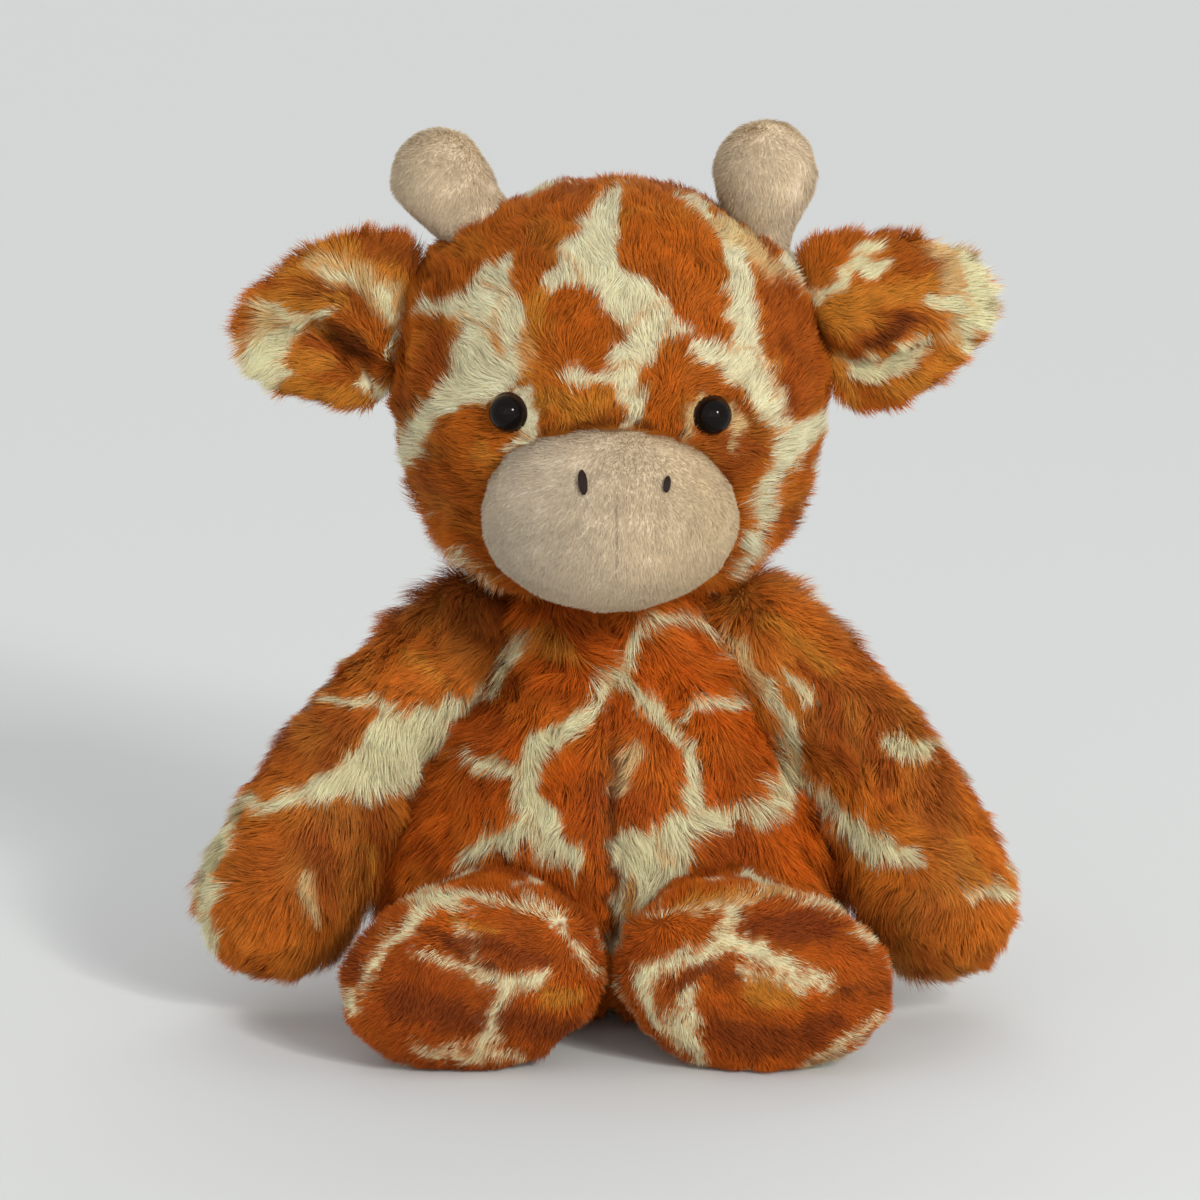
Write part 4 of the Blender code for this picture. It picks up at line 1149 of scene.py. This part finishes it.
def ear_skin(name, centre, outline, faces):
    """A closed sewn shape inside an outline, with one depth for its front and one for its back."""
    steps = len(outline)
    share = np.sin(np.linspace(0, math.pi / 2, EAR_RINGS + 1))[1:]
    flat = centre + (outline[None] - centre) * share[:, None, None]
    flat = np.concatenate((centre[None], flat.reshape(-1, 3)))
    dome = np.sqrt(np.clip(1 - np.concatenate(([0.0], np.repeat(share, steps))) ** 2, 0, 1))
    points = []
    for face in faces:
        made = flat.copy()
        made[:, 1] = face(flat, dome)
        points.append(made)
    per = len(flat)
    loops, sizes = [], []

    def add(face, flip):
        loops.extend(face[::-1] if flip else face)
        sizes.append(len(face))

    for first in (0, per):
        for j in range(steps):
            nxt = (j + 1) % steps
            add((first, first + 1 + j, first + 1 + nxt), first == 0)
            for i in range(EAR_RINGS - 1):
                a = first + 1 + i * steps
                add((a + j, a + steps + j, a + steps + nxt, a + nxt), first == 0)
    rim = 1 + (EAR_RINGS - 1) * steps
    for j in range(steps):
        nxt = (j + 1) % steps
        add((rim + j, rim + nxt, per + rim + nxt, per + rim + j), True)
    mesh = outward(new_mesh(name, np.concatenate(points), loops, np.array(sizes)))
    mesh.shade_smooth()
    return add_object(name, mesh)


def ear_outline(side):
    """The centre and the smoothed outline of an ear, its pile's length inside the photograph's."""
    corners = np.array([from_photo(x, y, EAR_MID) for x, y in EAR_SHAPES[side]["outline"]])
    centre = corners.mean(0)
    off = corners - centre
    angle = np.arctan2(off[:, 2], off[:, 0])
    reach = np.hypot(off[:, 0], off[:, 2])
    order = np.argsort(angle)
    wheel = np.linspace(-math.pi, math.pi, EAR_STEPS, endpoint=False)
    radius = np.interp(wheel, angle[order], reach[order], period=2 * math.pi)
    kernel = np.array((1, 2, 3, 2, 1)) / 9
    radius = sum(np.roll(radius, k - 2) * w for k, w in enumerate(kernel)) - EAR_PILE
    spokes = np.stack((np.cos(wheel) * radius, np.zeros(EAR_STEPS), np.sin(wheel) * radius), 1)
    return centre, centre + spokes


def ear(side):
    """An ear's lining and back."""
    shape = EAR_SHAPES[side]

    def front(p, dome):
        at = to_photo(p)
        gap, over, place = line_gap(at, shape["fold"])
        signed = gap * over
        fades = np.clip((1.0 - place) / 0.35, 0, 1) * np.clip(1.2 - np.abs(signed) / 60, 0.2, 1)
        lip = np.clip((signed + 1.0) / 6.0, 0, 1)
        lip = lip * lip * (3 - 2 * lip)
        hollow = np.exp(-(((signed + 11) / 9) ** 2)) * (signed < 0) * fades
        below = np.exp(-(size_of((at - np.array(shape["lower"], float)) / (52, 22)) ** 2))
        thick = LINING + DOME * dome + LIP * lip * fades * dome + BULGE * below * dome
        thick = thick - HOLLOW * hollow
        return EAR_MID - np.maximum(thick, 0.0008 * dome + 0.0002)

    def back(p, dome):
        return EAR_MID + 0.0004 + EAR_BACK_DOME * dome

    rings = ear_outline(side)
    lining = ear_skin("ear_lining_soft_" + side, *rings, (front, lambda p, dome: EAR_MID))
    rear = ear_skin("ear_back_soft_" + side, *rings, (lambda p, dome: EAR_MID + 0.0002, back))
    return lining, rear


for side, sign in SIDES:
    part = "ear_" + side
    pinch = np.array(from_photo(*EAR_SHAPES[side]["pinch"], EAR_MID - 0.002))

    def ear_length(p, n, pinch=pinch):
        return 0.0045 + 0.0035 * np.clip(size_of(p - pinch) / 0.040, 0, 1)

    def ear_comb(p, n, pinch=pinch):
        return (p - pinch) * np.array((1, 0.2, 1))

    lining, rear = ear(side)
    for obj, node in ((lining, "ear_lining_"), (rear, "ear_back_")):
        finish_skin(obj, coat, part, 507, part, (node + side,))
    fur = grow(lining, 5.5, ear_length, even(0.34), 0.00024, ear_comb, 71 + sign, clump=0.32,
               tuft=0.0022, keep=out_of_head(0.001, high=0.1))
    pile("ear_lining_fur_" + side, fur, coat, part, part)
    fur = grow(rear, 4.0, ear_length, even(0.34), 0.00026, ear_comb, 81 + sign, clump=0.32,
               tuft=0.0024, keep=out_of_head(0.001, low=-0.3))
    pile("ear_back_fur_" + side, fur, coat, part, part)

for side, sign in SIDES:
    horn, part = horns[side], "horn_" + side
    finish_skin(horn, tan_coat, "horn", 508, part, (part, "horn_fill_" + side))
    fur = grow(horn, 8.5, even(0.0029), even(0.58), 0.00020, along((sign * 0.3, 0, -1)), 41 + sign,
               clump=0.26, tuft=0.0018, keep=out_of_head(0.001), stray=0.8)
    pile("horn_pile_" + side, fur, tan_coat, "horn", part)

    arm, part = limbs["arm_" + side], "arm_" + side
    finish_skin(arm, coat, part, 510, part, ("arm_skin_" + side, "arm_fill_" + side))
    shoulder = np.array(JOINTS["arm_swing_" + side])

    def arm_roots(p, n, shoulder=shoulder, sign=sign):
        off = p - shoulder
        return (size_of(off) > 0.0240) | (off[:, 0] * sign > -0.015)

    fur = grow(arm, 3.3, arm_length, arm_lift, 0.00025, along((sign * 0.55, -0.1, -1)), 51 + sign,
               keep=arm_roots)
    pile("arm_fur_" + side, fur, coat, part, part)

    leg, part = limbs["leg_" + side], "leg_" + side
    nodes = ("leg_skin_" + side, "leg_fill_" + side, "sole_" + side)
    finish_skin(leg, coat, part, 511, part, nodes)
    low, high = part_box("sole_" + side)
    inner_top = np.array((low.x if side == "left" else high.x, low.y, high.z + 0.006))

    def leg_comb(p, n, inner_top=inner_top):
        front = np.clip(-n[:, 1], 0, 1)[:, None]
        return unit(p - inner_top) * front + np.array((0, 1.0, 0)) * (1 - front)

    fur = grow(leg, 4.2, leg_length, leg_lift, 0.00023, leg_comb, 61 + sign, clump=0.26,
               tuft=0.0022, keep=clear_of([(JOINTS["leg_lift_" + side], 0.0235)]), stray=0.7)
    pile("leg_fur_" + side, fur, coat, part, part)


# Eyes: a turned glossy dome with a rim, on a stem like the CAD eye's
EYE_RISE = 0.0058
EYE_ROWS = 14
EYE_BLACK = np.array((0.0050, 0.0034, 0.0030))
EYE_RIM = np.array((0.034, 0.014, 0.007))


def eye_material():
    made, tree, shader = new_material("eye_gloss", 0.04, 0.12)
    colour = add_node(tree, "Attribute", attribute_name="pile")
    noise = texture(tree, "Noise", {"Scale": 900})
    tree.links.new(colour.outputs["Color"], shader.inputs["Base Color"])
    tree.links.new(spread(tree, noise, 0.02, 0.06), shader.inputs["Roughness"])
    return made


GLOSS = eye_material()
for side, _ in SIDES:
    low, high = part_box("eye_" + side)
    radius = (high.z - low.z) / 2
    centre = Vector(EYES[side]) + Vector((0, 0.0060, 0))
    way = Vector((EYES[side][0], -0.062, 0.0)).normalized()
    profile = [(0.0001, EYE_RISE)]
    for k in range(1, EYE_ROWS + 1):
        a = math.pi / 2 * k / EYE_ROWS
        profile.append((radius * 0.94 * math.sin(a), EYE_RISE * math.cos(a)))
    profile += [(radius, -0.0002), (radius * 1.02, -0.0008), (radius * 0.98, -0.0014),
                (0.0022, -0.0020), (0.0018, -0.0080)]
    eye_dome = turned("eye_dome_" + side, centre, way, profile)
    gap = size_of((of_points(eye_dome, "co") - np.array(centre))[:, [0, 2]]) / radius
    set_colours(eye_dome.data, mix(EYE_BLACK, EYE_RIM, ramp(gap, 0.80, 0.16)))
    eye_dome.data.materials.append(GLOSS)
    finish_piece(eye_dome, "head", ("eye_" + side,))


# Stitching: threads as tubes along short paths
def thread(name, paths, radius, material, sides=6):
    """Tubes with rounded ends along paths of points, as one mesh."""
    points, loops, sizes = [], [], []
    for path in paths:
        path = [Vector(p) for p in path]
        faces, counts = tube(len(points), len(path), sides)
        loops += faces
        sizes += counts
        for i, p in enumerate(path):
            way = (path[min(i + 1, len(path) - 1)] - path[max(i - 1, 0)]).normalized()
            side = way.cross(Vector((0.3, 0.9, 0.2))).normalized()
            over = way.cross(side)
            thin = 0.45 if i in (0, len(path) - 1) else 1
            for k in range(sides):
                a = 2 * math.pi * k / sides
                points.append(p + (side * math.cos(a) + over * math.sin(a)) * radius * thin)
    mesh = new_mesh(name, points, loops, np.array(sizes))
    mesh.shade_smooth()
    mesh.materials.append(material)
    return add_object(name, mesh)


def thread_material(name, dark, light, scale):
    """Twisted thread: two tones in fine slanted bands."""
    made, tree, shader = new_material(name, 0.6, 0.2)
    bands = texture(tree, "Wave", {"Scale": scale, "Distortion": 1.5}, bands_direction="DIAGONAL")
    two_tones(tree, bands, shader, dark, light)
    return made


BROWN_THREAD = thread_material("brown_thread", (0.008, 0.004, 0.004), (0.034, 0.016, 0.012), 900)
SEAM_THREAD = thread_material("seam_thread", (0.10, 0.045, 0.02), (0.20, 0.09, 0.04), 700)

muzzle_points = of_points(muzzle, "co")


def on_muzzle(x, z, proud):
    """The point of the muzzle's front nearest to x and z, a little proud of it."""
    gap = np.hypot(muzzle_points[:, 0] - x, muzzle_points[:, 2] - z)
    near = np.argsort(gap + (muzzle_points[:, 1] > MUZZLE.y))[:6]
    return Vector((x, muzzle_points[near, 1].mean() - proud, z))


THREAD_POINTS = 7


def stitches(count, spot):
    """The paths of count stitches; spot gives the point at t, from 0 to 1, of stitch k."""
    last = THREAD_POINTS - 1
    return [[spot(k, i / last) for i in range(THREAD_POINTS)] for k in range(count)]


NOSTRIL_THREADS = 7
MIDDLE_THREAD = NOSTRIL_THREADS // 2
# Each nostril's height over the CAD's, how far it sits lower, its half width and its lean
NOSTRILS = {"left": (0.72, 0.0022, 0.00080, 0.12), "right": (1.10, 0.0012, 0.00115, -0.10)}
for side, _ in SIDES:
    taller, drop, wide, lean = NOSTRILS[side]
    low, high, middle = box("nostril_" + side)
    tall = (high.z - low.z) / 2 * taller

    def on_slit(k, t):
        t = t * 2 - 1
        off = (k - MIDDLE_THREAD) / MIDDLE_THREAD * wide * math.sqrt(1 - 0.96 * t * t)
        x = middle.x + off + lean * tall * t
        return on_muzzle(x, middle.z - drop + tall * t, 0.0014 + 0.0007 * (1 - t * t))

    paths = stitches(NOSTRIL_THREADS, on_slit)
    slit = thread("nostril_stitch_" + side, paths, 0.00034, BROWN_THREAD)
    finish_piece(slit, "head", ("nostril_" + side,))

# The hand-sewn ring between head and body: slanted stitches round a band
RING_STITCHES = 26
RING_RISE = 0.0032
RING_SWELL = 0.0010
low, high, ring_middle = box("neck_seam")
ring_radius = (high.x - low.x) / 2 - 0.002


def on_ring(k, t):
    a = 2 * math.pi * (k + t * 0.9) / RING_STITCHES
    reach = ring_radius + RING_SWELL * math.sin(math.pi * t)
    rise = RING_RISE * (t * 2 - 1)
    return ring_middle + Vector((reach * math.cos(a), reach * math.sin(a), rise))


ring = thread("neck_stitches", stitches(RING_STITCHES, on_ring), 0.0007, SEAM_THREAD)
finish_piece(ring, "neck")


# The band in the gap between head and body is painted dark rust as painted shade
def band_shade_tint(part, points, normals, seed):
    return RUST * (1 + 0.2 * waves(points, 0.004, seed))[:, None]


edge = [(ring_radius - 0.0035, 0.0040), (ring_radius - 0.0008, 0.0044), (ring_radius, 0.0030)]
edge += [(radius, -height) for radius, height in edge[::-1]]
band = turned("neck_band", ring_middle, (0, 0, 1), edge, 64)
paint_skin(band, band_shade_tint, "neck", 512, 0.8)
finish_piece(band, "neck", ("neck_seam",))

# Washers keep their solids and get a milky moulded plastic with faint flow marks
WASHER, washer_tree, washer_shader = new_material("washer_plastic", 0.4)
flow = texture(washer_tree, "Noise", {"Scale": 260})
two_tones(washer_tree, flow, washer_shader, (0.62, 0.61, 0.58), (0.78, 0.77, 0.74))
for side, _ in SIDES:
    washer = frame["nodes"]["eye_washer_" + side]
    washer.data.materials.clear()
    washer.data.materials.append(WASHER)

# Floor, light and camera
FLOOR_SIDE = 14.0
bpy.ops.mesh.primitive_plane_add(size=FLOOR_SIDE, location=(0, 0, 0))
floor = bpy.context.object
floor.name = "floor"
paint, _, shader = new_material("pale_floor", 0.9, 0.1)
shader.inputs["Base Color"].default_value = (0.762, 0.777, 0.766, 1)
floor.data.materials.append(paint)
floor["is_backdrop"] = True

# The world lights with one colour and is seen, also in gloss and glass, with another
world = bpy.data.worlds.new("studio")
bpy.context.scene.world = world
world.use_nodes = True
tree = world.node_tree
lit = tree.nodes["Background"]
lit.inputs["Color"].default_value = (0.97, 0.98, 1.0, 1)
lit.inputs["Strength"].default_value = 0.54
seen = add_node(tree, "Background", {"Color": (0.672, 0.687, 0.679, 1), "Strength": 1.0})
rays = add_node(tree, "LightPath").outputs
any_seen = rays["Is Camera Ray"]
for ray in ("Is Glossy Ray", "Is Transmission Ray"):
    either = add_node(tree, "Math", operation="MAXIMUM")
    tree.links.new(any_seen, either.inputs[0])
    tree.links.new(rays[ray], either.inputs[1])
    any_seen = either.outputs[0]
mixed = add_node(tree, "MixShader")
tree.links.new(any_seen, mixed.inputs["Fac"])
tree.links.new(lit.outputs[0], mixed.inputs[1])
tree.links.new(seen.outputs[0], mixed.inputs[2])
tree.links.new(mixed.outputs[0], tree.nodes["World Output"].inputs["Surface"])


def lamp(name, kind, power, way, **settings):
    """A lamp that shines from way towards the middle."""
    data = bpy.data.lights.new(name, kind)
    data.energy = power
    for key, value in settings.items():
        setattr(data, key, value)
    made = add_object(name, data)
    made.rotation_euler = Vector(way).to_track_quat("Z", "Y").to_euler()
    return made


for name, way, power, degrees, colour in (
        ("key", (0.62, -1.0, 0.55), 1.16, 14, (1.0, 0.985, 0.96)),
        ("soft_fill", (-0.7, -1.0, 0.30), 0.20, 60, (1.0, 0.99, 0.98)),
        ("front_fill", (0.15, -1.0, 0.08), 0.62, 70, (1.0, 0.99, 0.97)),
        ("rim", (0.15, 1.0, 0.75), 0.60, 50, (1.0, 0.99, 0.97))):
    lamp(name, "SUN", power, way, angle=math.radians(degrees), color=colour)

# A small soft lamp gives the eyes their catchlight
WINDOW = Vector((0.76, -1.23, 0.88))
window_way = WINDOW - Vector((0, 0, 0.2))
catchlight = lamp("catchlight", "AREA", 5.6, window_way, shape="DISK", size=0.14)
catchlight.location = WINDOW

camera_data = bpy.data.cameras.new("camera")
camera_data.lens = LENS_MM
camera_data.sensor_width = SENSOR_MM
camera = add_object("camera", camera_data)
camera.location = CAMERA
camera.rotation_euler = BACK.to_track_quat("Z", "Y").to_euler()
bpy.context.scene.camera = camera
bpy.context.scene.view_settings.view_transform = "Standard"

low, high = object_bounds()
